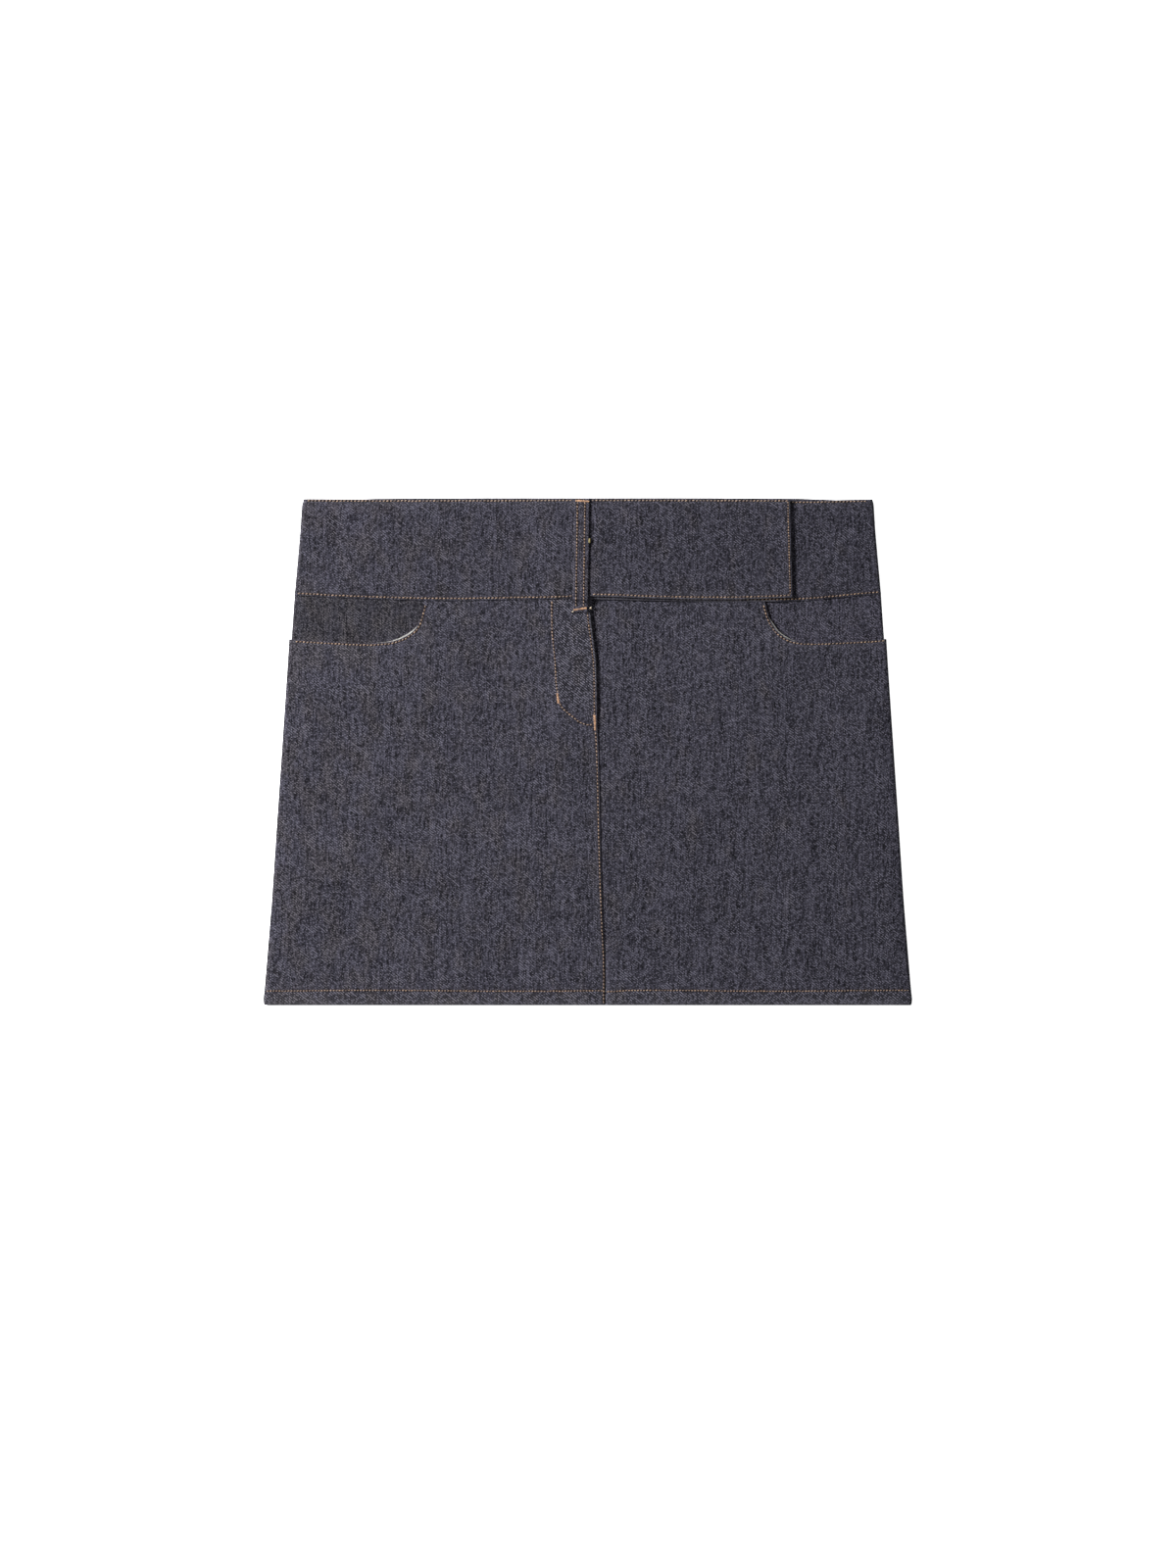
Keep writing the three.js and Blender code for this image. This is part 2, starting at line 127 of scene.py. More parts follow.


# %% [markdown]
# ## Soft creases
# The skirt lies almost flat. What shows is a slack ridge beside the fly, faint rises where turnings and
# pocket cloth lie inside, and a few shallow waves. They could be simulated, but a flat skirt barely moves,
# so each is a listed swelling. One table serves every layer, so the layers rise together and never
# cross.

# %% The crease table
CREASES = [
    # x, y, turn in degrees, length, width, rise
    (22, 76, 84, 34, 9, 0.75),
    (40, 20, 70, 45, 15, 0.45),
    (21, -20, 92, 30, 8, 0.4),
    (-52, 64, 100, 30, 14, 0.4),
    (-75, -6, 12, 55, 16, 0.4),
    (-118, 42, 84, 44, 12, 0.5),
    (-160, -60, 76, 60, 17, 0.55),
    (-40, -104, 96, 48, 14, 0.5),
    (64, -70, 82, 62, 13, 0.5),
    (116, -2, 104, 58, 18, 0.5),
    (150, -96, 99, 50, 14, 0.45),
    (176, 34, 80, 36, 10, 0.35),
    (-130, 137, 4, 52, 16, 0.35),
    (84, 132, 178, 60, 15, 0.4),
    (172, 148, 120, 24, 10, 0.3),
    (-92, -150, 88, 22, 12, 0.35),
    (96, -150, 93, 24, 10, 0.4),
]


def crease(x, y):
    """How far the slack cloth stands up here."""
    total = 0
    for at_x, at_y, degrees, long, wide, rise in CREASES:
        turn = math.radians(degrees)
        dx, dy = x - at_x, y - at_y
        along = (dx * math.cos(turn) + dy * math.sin(turn)) / long
        aside = (dy * math.cos(turn) - dx * math.sin(turn)) / wide
        total += rise * math.exp(-along * along - aside * aside)
    return total


print("creases:", len(CREASES))

# %% [markdown]
# ## From a grid to a cloth
# A cut piece of cloth is a grid whose crossings each have a place on the garment. Extruding an outline
# would give one face with no creases. Here create_grid makes the net, and a function for each piece says
# where each crossing lies, round its turned edges too. A Solidify modifier then gives the net the thickness
# of denim, and paints the inner side as the pale reverse. Each crossing also keeps how near it is to a
# stitched edge.

# %% Grids of cloth
DENIM_THICK = 0.65
PRESSED_THICK = 0.5  # a band is pressed flat under its stitches
ROLL_STEPS = [0.25, 0.5, 0.75, 1]


def keep_mesh(bm, name):
    """Turns a finished bmesh into a mesh."""
    mesh = bpy.data.meshes.new(name)
    bm.to_mesh(mesh)
    bm.free()
    return mesh


def put_in_scene(name, data):
    obj = bpy.data.objects.new(name, data)
    bpy.context.scene.collection.objects.link(obj)
    return obj


def thicken(obj, thickness):
    """Gives a net its thickness, inwards. The inner side takes the piece's second material."""
    solidify = obj.modifiers.new("denim thickness", "SOLIDIFY")
    solidify.thickness = thickness * TO_METRES
    solidify.offset = -1
    solidify.material_offset = 1
    solidify.material_offset_rim = 0


def cloth(name, across, along, place, facing=1, taut=None, thickness=DENIM_THICK):
    """Lays a net over the places that place(column, row) gives, as x, y, z and nearness to a seam."""
    bm = bmesh.new()
    bmesh.ops.create_grid(bm, x_segments=len(across) - 1, y_segments=len(along) - 1, size=1)
    near_seam = bm.verts.layers.float.new("near_seam")
    bold_twill = bm.verts.layers.float.new("bold_twill")
    for number, vert in enumerate(bm.verts):
        row, column = divmod(number, len(across))
        x, y, z, near = place(across[column], along[row])
        vert.co = Vector((x, y, z)) * TO_METRES
        vert[near_seam] = near
        vert[bold_twill] = taut(x, y) if taut else 0
    if facing < 0:
        bmesh.ops.reverse_faces(bm, faces=bm.faces)
    for face in bm.faces:
        face.smooth = True
    obj = put_in_scene(name, keep_mesh(bm, name))
    thicken(obj, thickness)
    print(name, len(obj.data.polygons), "faces")
    return obj


# %% [markdown]
# ## Seams pull the cloth in
# A row of stitches sinks into denim, and the edge beyond it puffs up. Modelling each stitch's dimple would
# take millions of faces, so the row is a soft trough with a low ridge beside it. The stitches lie in it
# later.

# %% Troughs along stitched edges
TROUGH_DEEP = 0.24
TROUGH_WIDE = 0.9
PUFF = 0.1
SEAM_REACH = 5


def bell(distance, width):
    return math.exp(-((distance / width) ** 2))


def stitched(from_edge, row_at):
    """The rise or dip at a distance from an edge that is sewn at row_at, and the nearness to that edge."""
    dip = -TROUGH_DEEP * bell(from_edge - row_at, TROUGH_WIDE)
    puff = PUFF * bell(from_edge - row_at - 2.2, 1.2) + PUFF * bell(from_edge - row_at / 2, row_at / 2)
    return dip + puff, bell(max(from_edge, 0), SEAM_REACH)


# %% [markdown]
# ## Panels
# The fronts, the back and the pocket facings are flat panels. Each is cut, its hem is turned up, and its
# sides are sewn to the next panel. A panel here is a net of columns from hem to top. Its rows run close
# together at the hem, the mouth and the sewn edges, where the form changes. At the hem the net goes round
# the fold and back under the cloth. At a side seam it rolls over to meet the other panel half way down.

# %% The panel maker
HEM_DEPTH = 10
HEM_RADIUS = 0.88
HEM_STITCH = 9.9
MOUTH_STITCH = 1.3
MOUTH_RUBS = 0.8  # a mouth's edge is rubbed less than a free edge
SIDE_ROLL = 2.6
EDGE_ROLL = 0.9
INSIDE = 1.4  # heights are felt this far inside the outline
TUCK = 1.8  # a panel's top edge runs this far under its band
TUCK_DROPS = 0.5
TUCK_BELOW = 3.8  # only where the panel lies lower than this
SHORT_TUCK = 0.6  # and elsewhere only this far
SHORT_TUCK_DROPS = 0.9
MOUTHS_TOP = 101.6  # and not along the pocket mouths, which end here
ABOVE_PANELS = 135  # a height that no panel reaches
SEAM_HALF_OPEN = 0.04  # the two rolls of a side seam stop this far short of its middle
HELD_BACK = 0.55  # a turning stops this share of the side roll short of the seam, so that it can't look out


class Edges:
    """The two side edges of a piece, felt row by row and run on straight past the last row."""

    def __init__(self, form, middle, low, high, reach=260, rows=60, run_on=40):
        heights = stations(low, high, rows)
        left = [form.edge((middle, y), (-reach, y)).x for y in heights]
        right = [form.edge((middle, y), (reach, y)).x for y in heights]
        self.heights = [*heights, heights[-1] + run_on]
        for side in (left, right):
            lean = (side[-1] - side[-8]) / (heights[-1] - heights[-8])
            side.append(side[-1] + lean * run_on)
        self.sides = (left, right)

    def at(self, y):
        return [float(np.interp(y, self.heights, side)) for side in self.sides]

    def follow(self, other, side):
        """Takes one edge (0 left, 1 right) from another reading of the piece."""
        self.sides[side][:] = [other.at(y)[side] for y in self.heights]


FRONT_NODES = ("front_right", "front_left", "hip_facing_right", "hip_facing_left")
lying_above = [solid(node) for node in FRONT_NODES]
lying_below = [solid("back_panel", facing=-1)]


def seam_height(form, x, y):
    """Where a side seam lies: half way between the inner faces of the front and the back."""
    own = form.touch(x, y, side=-1)
    others = lying_below if form.facing > 0 else lying_above
    felt = [other.touch(x, y, side=-1) for other in others]
    felt = [z for z in felt if z is not None]
    return (own + min(felt)) / 2 if felt else own


def panel_columns(shares, left_rolls, right_rolls):
    """Columns as (which edge they roll over, how far), or (0, share of the way across)."""
    left = [(-1, step) for step in reversed(ROLL_STEPS)] if left_rolls else []
    right = [(1, step) for step in ROLL_STEPS] if right_rolls else []
    return left + [(0, share) for share in shares] + right


def panel_rows(hem, middle, top):
    """Rows as (kind, amount): turned under, up from the foot, shares of the way, down from the top."""
    turned = [("turn", 2), ("turn", 1.4)] + [("turn", step / 6) for step in range(6, 0, -1)] if hem else []
    up = [("up", rise) for rise in hem] if hem else [("up", 0)]
    return turned + up + [("share", s) for s in middle] + [("down", d) for d in top] + [("tuck", 1)]


def panel(
    name, form, edges, foot, columns, rows, up_to, top_from, rolls, sewn, tuck=True, taut=None, settle=None
):
    """
    A panel of cloth on the form. rolls gives each side's roll width, sewn the stitched distance from each
    edge, and settle how far the cloth sinks at a distance from its right edge.
    """
    facing = form.facing
    tops = {}

    def inner_x(share, y):
        left, right = edges.at(y)
        return lerp(left + rolls[0], right - rolls[1], share)

    def top_of(share):
        if share not in tops:
            low, high = top_from, ABOVE_PANELS
            for _ in range(20):
                middle = (low + high) / 2
                off = form.touch(inner_x(share, middle), middle) is None
                low, high = (low, middle) if off else (middle, high)
            tops[share] = low
        return tops[share]

    def mouth_lean(share):
        """How steeply the top edge runs here, as the share of a drop that is square to the edge."""
        if not 0.002 < share < 0.998:
            return 1
        rise = top_of(share + 0.0015) - top_of(share - 0.0015)
        run = inner_x(share + 0.0015, 80) - inner_x(share - 0.0015, 80)
        return abs(run) / math.hypot(rise, run)

    def place(column, row):
        side, amount = column
        kind, value = row
        share = amount if side == 0 else max(side, 0)
        top = top_of(share)
        start = foot + (HEM_RADIUS if rows[0][0] == "turn" else 0)
        heights = {
            "turn": start,
            "up": start + value,
            "share": lerp(start + up_to[0], top - up_to[1], value),
            "down": top - value,
            "tuck": top,
        }
        y = heights[kind]
        x = inner_x(share, y)
        left, right = edges.at(y)
        felt_x = clamp(x, left + INSIDE, right - INSIDE)
        felt_y = clamp(y, foot + INSIDE, top - INSIDE)
        z = form.even(felt_x, felt_y)
        near = 0
        lean = mouth_lean(share)
        gaps = {"left": x - left, "right": right - x, "foot": y - foot, "top": (top - y) * lean}
        for edge_name, row_at in sewn.items():
            at = row_at(x, y)
            if at:
                dip, close = stitched(gaps[edge_name], at)
                z += facing * dip
                near = max(near, close * (MOUTH_RUBS if edge_name == "top" else 1))
        rise = crease(x, y) if facing > 0 else 0
        sunk = settle(gaps["right"], y) if settle else 0
        z -= sunk
        if kind == "turn":
            angle = math.pi * min(value, 1)
            z -= facing * HEM_RADIUS * (1 - math.cos(angle))
            y = foot + HEM_RADIUS * (1 - math.sin(angle)) + max(value - 1, 0) * HEM_DEPTH
        if kind == "tuck" and tuck and top > MOUTHS_TOP:
            far_under = facing * z < TUCK_BELOW
            y += TUCK if far_under else SHORT_TUCK
            z -= facing * (TUCK_DROPS if far_under else SHORT_TUCK_DROPS)
        if side != 0:
            angle = amount * math.pi / 2
            roll = rolls[0 if side < 0 else 1]
            if roll == SIDE_ROLL:
                end_z = seam_height(form, felt_x, felt_y) + facing * SEAM_HALF_OPEN
            else:
                end_z = form.touch(felt_x, felt_y, side=-1) + facing * SEAM_HALF_OPEN - sunk
            z = end_z + (z - end_z) * math.cos(angle)
            held_back = HELD_BACK * min(value, 1) if kind == "turn" else 0
            x += side * roll * (1 - held_back) * math.sin(angle)
        return x, y, z + rise, near

    return cloth(name, columns, rows, place, facing, taut)


def shares_of(distances, width):
    """Distances across a panel as shares of its width between the rolls."""
    return [d / width for d in distances]


HEM_UP = [0.4, 1, 2, 3.2, 4.6, 6, 7.2, 8.1, 8.7, 9.2, 9.8, 10.6, 11.6, 13, 16, 20, 26]
TOP_DOWN = [14, 10.5, 8, 6, 4.6, 3.6, 2.8, 2.2, 1.7, 1.3, 0.9, 0.5, 0.2]
NO_ROW = {}
hem_row = {"foot": lambda x, y: HEM_STITCH}

# %% [markdown]
# ## The two fronts
# The right front laps over the left one at the fly and the centre seam, so its inner edge is folded and
# sewn. It stands proud at the fly and is pressed flat below. The left front runs on under it. Both have a
# scooped pocket mouth at the hip, cut into the solid already, so the columns simply end where the mouth is
# felt. They stand close together where the mouth turns upwards.

# %% Right front
RIGHT_MOUTH_END = 110.8
LEFT_MOUTH_END = 121
SKIRT_FOOT = -173.5
FELT_FROM = SKIRT_FOOT + 0.2
FLY_STITCH = 2.3
SEAM_STITCH = 1.6
FLY_FOOT = 14


def front_distances(side_width, mouth_end, centre_reach, fine_centre):
    """Distances out from the panel's inner edge, close at the centre, the mouth's end and the side."""
    at_mouth = mouth_end - centre_reach
    steep = stations(at_mouth - 2, at_mouth + 12, 22)
    rest = stations(at_mouth + 15, side_width - 6, 20)
    side = [side_width - 4, side_width - 2.5, side_width - 1.2, side_width]
    first = fine_centre[-1] + 4
    plain = stations(first, at_mouth - 5, int((at_mouth - first) / 4.5))
    return fine_centre + plain + steep + rest + side


right_form = solid("front_right")
right_edges = Edges(right_form, -60, FELT_FROM, 72)
centre_edge = Edges(right_form, -60, FELT_FROM, 103)
right_edges.follow(centre_edge, 1)
MOUTH_WIDTH = 206 - SIDE_ROLL - EDGE_ROLL  # the right front between its rolls, at the mouth's height
FINE_EDGE = [0, 0.5, 1, 1.4, 1.9, 2.6, 3.4, 4.4, 6, 9, 13, 18, 22, 24.5, 26.5, 28.5, 30.5, 33]
right_out = front_distances(MOUTH_WIDTH, RIGHT_MOUTH_END + 2, EDGE_ROLL, FINE_EDGE)
right_shares = [1 - share for share in reversed(shares_of(right_out, MOUTH_WIDTH))]


def fly_row(x, y):
    return FLY_STITCH if y > FLY_FOOT else SEAM_STITCH


def ramp(value, start, end):
    """From 0 at start to 1 at end, without corners."""
    share = clamp((value - start) / (end - start), 0, 1)
    return share * share * (3 - 2 * share)


def hem_taut(x, y):
    """The turned hem is pressed hard, so the twill stands out."""
    return 1 - ramp(y, SKIRT_FOOT + HEM_DEPTH - 1, SKIRT_FOOT + HEM_DEPTH + 1)


def front_taut(x, y):
    """And so it does on the fly, inside the curved row."""
    fly = ramp(x, -25, -21) * (1 - ramp(x, 5, 8)) * ramp(y, 24, 40)
    return max(hem_taut(x, y), 0.8 * fly)


LAP_SINKS = 0.4  # how far the lap is pressed down below the fly


def lap_settles(from_edge, y):
    """How far the right front sinks here, at a distance from its inner edge."""
    return LAP_SINKS * (1 - ramp(y, 0, 85)) * (1 - ramp(from_edge, 1.5, 16))


right_front = panel(
    "right_front_cloth",
    right_form,
    right_edges,
    SKIRT_FOOT,
    panel_columns(right_shares, True, True),
    panel_rows(HEM_UP, stations(0.04, 0.96, 44), TOP_DOWN),
    (HEM_UP[-1], TOP_DOWN[0]),
    0,
    (SIDE_ROLL, EDGE_ROLL),
    {
        **hem_row,
        "right": fly_row,
        "top": lambda x, y: MOUTH_STITCH if x < -RIGHT_MOUTH_END + 1 else 0,
    },
    taut=front_taut,
    settle=lap_settles,
)

# %% Left front
left_form = solid("front_left")
left_edges = Edges(left_form, 60, FELT_FROM, 72)
under_edge = Edges(left_form, 60, FELT_FROM, 100)
left_edges.follow(under_edge, 0)
LEFT_WIDTH = 204.5 + 28 - SIDE_ROLL
left_out = front_distances(LEFT_WIDTH, LEFT_MOUTH_END + 26, 0, [0, 4, 9, 14, 19, 23, 27, 31, 35, 39, 43])

left_front = panel(
    "left_front_cloth",
    left_form,
    left_edges,
    SKIRT_FOOT,
    panel_columns(shares_of(left_out, LEFT_WIDTH), False, True),
    panel_rows(HEM_UP, stations(0.04, 0.96, 44), TOP_DOWN),
    (HEM_UP[-1], TOP_DOWN[0]),
    0,
    (0, SIDE_ROLL),
    {**hem_row, "top": lambda x, y: MOUTH_STITCH if x > LEFT_MOUTH_END - 1 else 0},
    taut=hem_taut,
)

# %% [markdown]
# ## The back
# The back is one plain panel, face down on the table. It is made like the fronts, with its outer side
# down. Its hem turns up inside, and its sides roll up to meet the fronts.

# %% Back panel
back_form = solid("back_panel", facing=-1)
back_edges = Edges(back_form, 0, FELT_FROM, 101)
back_panel = panel(
    "back_panel_cloth",
    back_form,
    back_edges,
    SKIRT_FOOT,
    panel_columns([0, 0.006, 0.015, 0.03, *stations(0.05, 0.95, 46), 0.97, 0.985, 0.994, 1], True, True),
    panel_rows(HEM_UP, stations(0.06, 0.94, 24), [10, 6, 4, 3, 2.2, 1.7, 1.2, 0.6, 0.2]),
    (HEM_UP[-1], 10),
    0,
    (SIDE_ROLL, SIDE_ROLL),
    hem_row,
    tuck=False,
)

# %% [markdown]
# ## Pocket facings
# Above each pocket mouth the hip shows a facing of the same denim, sewn to the pocket bag. It lies under
# the front and runs on past the mouth. A plain panel with raw hidden edges is enough, because only its
# upper part shows.

# %% Right and left hip facings
FACING_FOOT = 48


def facing_cloth(name, node, hand):
    form = solid(node)
    edges = Edges(form, hand * 150, FACING_FOOT + 0.5, 101, rows=20)
    rolls = (SIDE_ROLL, 0) if hand < 0 else (0, SIDE_ROLL)
    return panel(
        name,
        form,
        edges,
        FACING_FOOT,
        panel_columns(stations(0, 1, 30), hand < 0, hand > 0),
        panel_rows(None, stations(0.05, 0.95, 14), [6, 4, 2.5, 1.2, 0.3]),
        (0.5, 6),
        60,
        rolls,
        NO_ROW,
    )


right_facing = facing_cloth("right_facing_cloth", "hip_facing_right", -1)
left_facing = facing_cloth("left_facing_cloth", "hip_facing_left", 1)

# %% [markdown]
# ## Waistbands
# A waistband is a long strip folded over its top edge, with its lower edge turned under and sewn down.
# The right one runs on past the centre as a free tab. Each band is one net that goes the way the strip
# does: from the turned-under edge, up the outer side, over the top and down the inside. At a side seam the
# outer layer rolls down to the other band. At a free end the two layers close on each other.

# %% The band maker
BAND_LOW = 107.8  # a band's ends are felt between these two heights
BAND_HIGH = 171.2
BAND_MIDDLE = 140
BELOW_BANDS = 90
ABOVE_BANDS = 190
BAND_HALF = 1.0
FOOT_RADIUS = 0.66
UNDER_DEPTH = 7
INNER_STOPS = 3  # the inner layer ends this far above the foot
BAND_FOOT_STITCH = 1.6
BAND_TOP_STITCH = 1.3
STEP_UP = 0.95  # a foot that is sewn down stands this far above the panel below it
SETTLES_OVER = 3.5
SEWN_DOWN_RUBS = 0.6  # a foot that is sewn down is rubbed less than a free one
TAB_END_STITCH = 1.8
BAND_ROWS = (
    [("under", 2), ("under", 1.4)]
    + [("under", step / 4) for step in range(4, 0, -1)]
    + [("face", rise) for rise in [0, 0.5, 0.9, 1.3, 1.8, 2.4, 3.2, 4.5, 6.5, 9, 12]]
    + [("share", share) for share in stations(0.08, 0.92, 10)]
    + [("fall", drop) for drop in [9, 6, 4, 2.8, 1.9, 1.3, 0.8, 0.4, 0]]
    + [("over", step / 8) for step in range(1, 9)]
    + [("inside", share) for share in [0.03, 0.25, 0.5, 0.75, 1]]
)


def band(name, node, middle, ends, spacing, facing=1, sewn_to=None, sewn_from=-300, sewn_till=300):
    """A folded waistband. ends says whether its left and right ends are a side seam or free."""
    form = solid(node, facing)
    edges = Edges(form, middle, BAND_LOW, BAND_HIGH, rows=40, run_on=0)
    rolls = [SIDE_ROLL if end == "side" else BAND_HALF for end in ends]
    left_end, right_end = edges.at(BAND_MIDDLE)
    width = right_end - left_end - sum(rolls)
    close = [0.5, 1, 1.5, 2.1, 2.8, 3.8, 5.5, 8, 12]
    shares = [0, *shares_of(close, width), *stations(16 / width, 1 - 16 / width, int(width / spacing))]
    shares += [1 - share for share in reversed(shares_of(close, width))] + [1]
    print(name, "is", round(width), "mm wide")
    feet = {}
    tops = {}

    def across(share, y):
        left, right = edges.at(y)
        return lerp(left + rolls[0], right - rolls[1], share)

    def foot_at(x):
        """The lower edge here, how far it sinks onto the panel below, and its fold's radius."""
        foot = form.edge((x, BAND_MIDDLE), (x, BELOW_BANDS)).y
        if not sewn_to:
            return foot, 0, FOOT_RADIUS
        sewn = ramp(x, sewn_from, sewn_from + 8) * (1 - ramp(x, sewn_till - 8, sewn_till))
        faces = [surface.touch(clamp(x, -198, 198), foot - 2) for surface in sewn_to]
        face = max(z for z in [*faces, 0] if z is not None)
        over = form.even(clamp(x, -197, 197), foot + INSIDE)
        return foot, sewn * max(over - face - STEP_UP, 0), lerp(FOOT_RADIUS, STEP_UP / 2, sewn)

    def place(column, row):
        side, amount = column
        kind, value = row
        share = amount if side == 0 else max(side, 0)
        if share not in feet:
            feet[share] = foot_at(across(share, 108.5))
            x = across(share, 170)
            tops[share] = form.edge((x, BAND_MIDDLE), (x, ABOVE_BANDS)).y
        foot, sink, radius = feet[share]
        top = tops[share]
        heights = {
            "under": foot + radius,
            "face": foot + radius + value,
            "share": lerp(foot + radius + 12, top - BAND_HALF - 9, value),
            "fall": top - BAND_HALF - value,
            "over": top - BAND_HALF,
            "inside": lerp(top - BAND_HALF, foot + INNER_STOPS, value),
        }
        y = heights[kind]
        left, right = edges.at(y)
        x = across(share, y)
        felt_x = clamp(x, left + INSIDE, right - INSIDE)
        felt_y = clamp(y, foot + INSIDE, top - INSIDE)
        outer = form.even(felt_x, felt_y)
        middle_z = outer - facing * BAND_HALF
        outward = 1  # 1 on the outer layer, -1 on the inner one
        depth = 0
        near = 0
        if kind == "over":
            outward = math.cos(math.pi * value)
            y = top - BAND_HALF + BAND_HALF * math.sin(math.pi * value)
            near = bell(value, 0.6)
        elif kind == "inside":
            outward = -1
        elif kind == "under":
            angle = math.pi * min(value, 1)
            y = foot + radius * (1 - math.sin(angle)) + max(value - 1, 0) * UNDER_DEPTH
            depth = radius * (1 - math.cos(angle)) + sink * bell(y - foot, SETTLES_OVER)
            near = 1
        else:
            gaps = [(y - foot, BAND_FOOT_STITCH), (top - y, BAND_TOP_STITCH)]
            if ends[1] == "free":
                gaps.append((right - x, TAB_END_STITCH))
            for gap, row_at in gaps:
                dip, close_by = stitched(gap, row_at)
                depth -= dip
                near = max(near, close_by)
            depth += sink * bell(y - foot, SETTLES_OVER)
        z = middle_z + facing * (BAND_HALF * outward - depth)
        if side != 0:
            angle = amount * math.pi / 2
            inside_share = (1 - outward) / 2
            if ends[0 if side < 0 else 1] == "side":
                end_z = middle_z - facing * (BAND_HALF - 0.1)
                z = end_z + (z - end_z) * math.cos(angle) if inside_share < 0.9 else z
                held_back = HELD_BACK * SIDE_ROLL * min(value, 1) if kind == "under" else inside_share
                x += side * (SIDE_ROLL - held_back) * math.sin(angle)
            else:
                z = middle_z + (z - middle_z) * math.cos(angle)
                x += side * BAND_HALF * math.sin(angle)
            near = max(near, 0.8)
        if radius < FOOT_RADIUS and y < foot + SEAM_REACH:
            near *= SEWN_DOWN_RUBS
        rise = crease(x, y) if facing > 0 else 0
        return x, y, z + rise, near

    return cloth(name, panel_columns(shares, True, True), BAND_ROWS, place, facing, thickness=PRESSED_THICK)


# %% Four bands
right_band = band(
    "right_waistband_cloth",
    "waistband_right",
    -80,
    ("side", "free"),
    4,
    sewn_to=[right_form, solid("hip_facing_right")],
    sewn_till=3,
)
left_band = band(
    "left_waistband_cloth",
    "waistband_left",
    80,
    ("free", "side"),
    5,
    sewn_to=[left_form, solid("hip_facing_left")],
    sewn_from=130,
)
back_band = band("back_waistband_cloth", "waistband_back", 0, ("side", "side"), 7, facing=-1)

# %% [markdown]
# ## The belt loop
# The loop is a strip folded in three and sewn down at both ends. Its sides are folds, so its net goes round
# them and back underneath. It lies on the band and steps down onto the fly below the band's edge.

# %% Belt loop
LOOP_RADIUS = 0.62
LOOP_SINK = 0.6  # the loop is pressed onto what it lies on
LOOP_LOW = 95
LOOP_HIGH = 172.9
LOOP_RETURN = 3.6


def loop_cloth():
    form = solid("belt_loop")
    edges = Edges(form, -4.5, LOOP_LOW + 0.5, LOOP_HIGH - 0.5, reach=40)
    under = [("left", 2), *[("left", step / 6) for step in range(6, 0, -1)]]
    flat = [("flat", share) for share in stations(0, 1, 15)]
    over = [("right", step / 6) for step in range(1, 7)] + [("right", 2)]
    step_down = [96, 96.6, 97.2, 97.8, 98.4, 99.2, 100, 100.6, 101.2, 101.8, 102.4, 103, 103.6]
    plain = [104.3, 105.2, 106.5, *stations(109, 166, 22), 168, 169.2, 170, 170.8, 171.4, 172]
    rows = [("low", step) for step in (1, 0.66, 0.33)]
    rows += [("on", y) for y in step_down + plain]
    rows += [("high", step) for step in (0.33, 0.66, 1)]

    def place(column, row):
        side, amount = column
        end, value = row
        y = {"low": LOOP_LOW + LOOP_RADIUS, "high": LOOP_HIGH - LOOP_RADIUS}.get(end, value)
        left, right = edges.at(y)
        share = {"left": 0, "right": 1}.get(side, amount)
        x = lerp(left + LOOP_RADIUS, right - LOOP_RADIUS, share)
        felt_y = clamp(y, LOOP_LOW + INSIDE, LOOP_HIGH - INSIDE)
        lies = form.even(lerp(left, right, 0.5), felt_y, reach=0.9) - LOOP_SINK
        troughs = bell(share - 0.2, 0.1) + bell(share - 0.72, 0.1)
        z = lies + 0.12 * math.sin(math.pi * share) - TROUGH_DEEP * 0.7 * troughs
        if side in ("left", "right"):
            outward = -1 if side == "left" else 1
            angle = math.pi * min(amount, 1)
            x += outward * (LOOP_RADIUS * math.sin(angle) - max(amount - 1, 0) * LOOP_RETURN)
            z -= LOOP_RADIUS * (1 - math.cos(angle))
        if end in ("low", "high"):
            angle = value * math.pi / 2
            middle = lies - LOOP_RADIUS
            z = middle + (z - middle) * math.cos(angle)
            y += (1 if end == "high" else -1) * LOOP_RADIUS * math.sin(angle)
        return x, y, z + crease(x, y), 0.45

    return cloth("belt_loop_cloth", under + flat + over, rows, place, thickness=PRESSED_THICK)


belt_loop = loop_cloth()

# %% [markdown]
# ## Pale turnings at the pocket mouths
# The mouth's edge is turned in, and at its bend the pale reverse of the denim peeps out by about a
# millimetre. It is a narrow strip between the front and the facing. The strip follows the felt mouth, and
# a short table says how far it shows.

# %% Mouth outlines and turnings
MOUTH_PIVOT = {-1: (-150, 99), 1: (158, 99)}
TURNING_DEEP = 9
FACINGS_OUT = 200  # a facing can be felt up to these places
FACINGS_TOP = 101
TURNING_LIES = 0.55  # above the facing
TURNING_THICK = 0.3
PEEP = {  # shares of the mouth's length from the side to the waist, and how far the strip shows there
    -1: (
        [0, 0.48, 0.56, 0.64, 0.72, 0.8, 0.86, 0.9, 1],
        [-0.6, -0.4, 0.1, 0.3, 0.9, 1.0, 0.5, -0.5, -0.6],
    ),
    1: (
        [0, 0.58, 0.67, 0.75, 0.85, 0.91, 0.96, 1],
        [-0.6, -0.5, 0.25, 0.85, 0.9, 0.6, -0.4, -0.6],
    ),
}
STANDS_UP = {-1: 0, 1: 0.6}  # the left one's edge stands up a little and catches the light


def mouth_line(form, hand, count=90):
    """The mouth's outline from the side to the waist, felt from a pivot in the scoop."""
    found = []
    for turn in stations(-165, -2, count):
        aim = Vector((hand * -math.cos(math.radians(turn)), math.sin(math.radians(turn))))
        met = form.meet(MOUTH_PIVOT[hand], aim)
        if met is not None and met.y < MOUTHS_TOP:
            found.append(met)
    return found


def offset_line(points, distance):
    """The line moved sideways, to the left of its own direction where distance is positive."""
    moved = []
    for i, point in enumerate(points):
        ahead = points[min(i + 1, len(points) - 1)] - points[max(i - 1, 0)]
        ahead.normalize()
        moved.append(point + Vector((-ahead.y, ahead.x)) * distance)
    return moved


def length_of(points):
    return sum((b - a).length for a, b in zip(points, points[1:]))


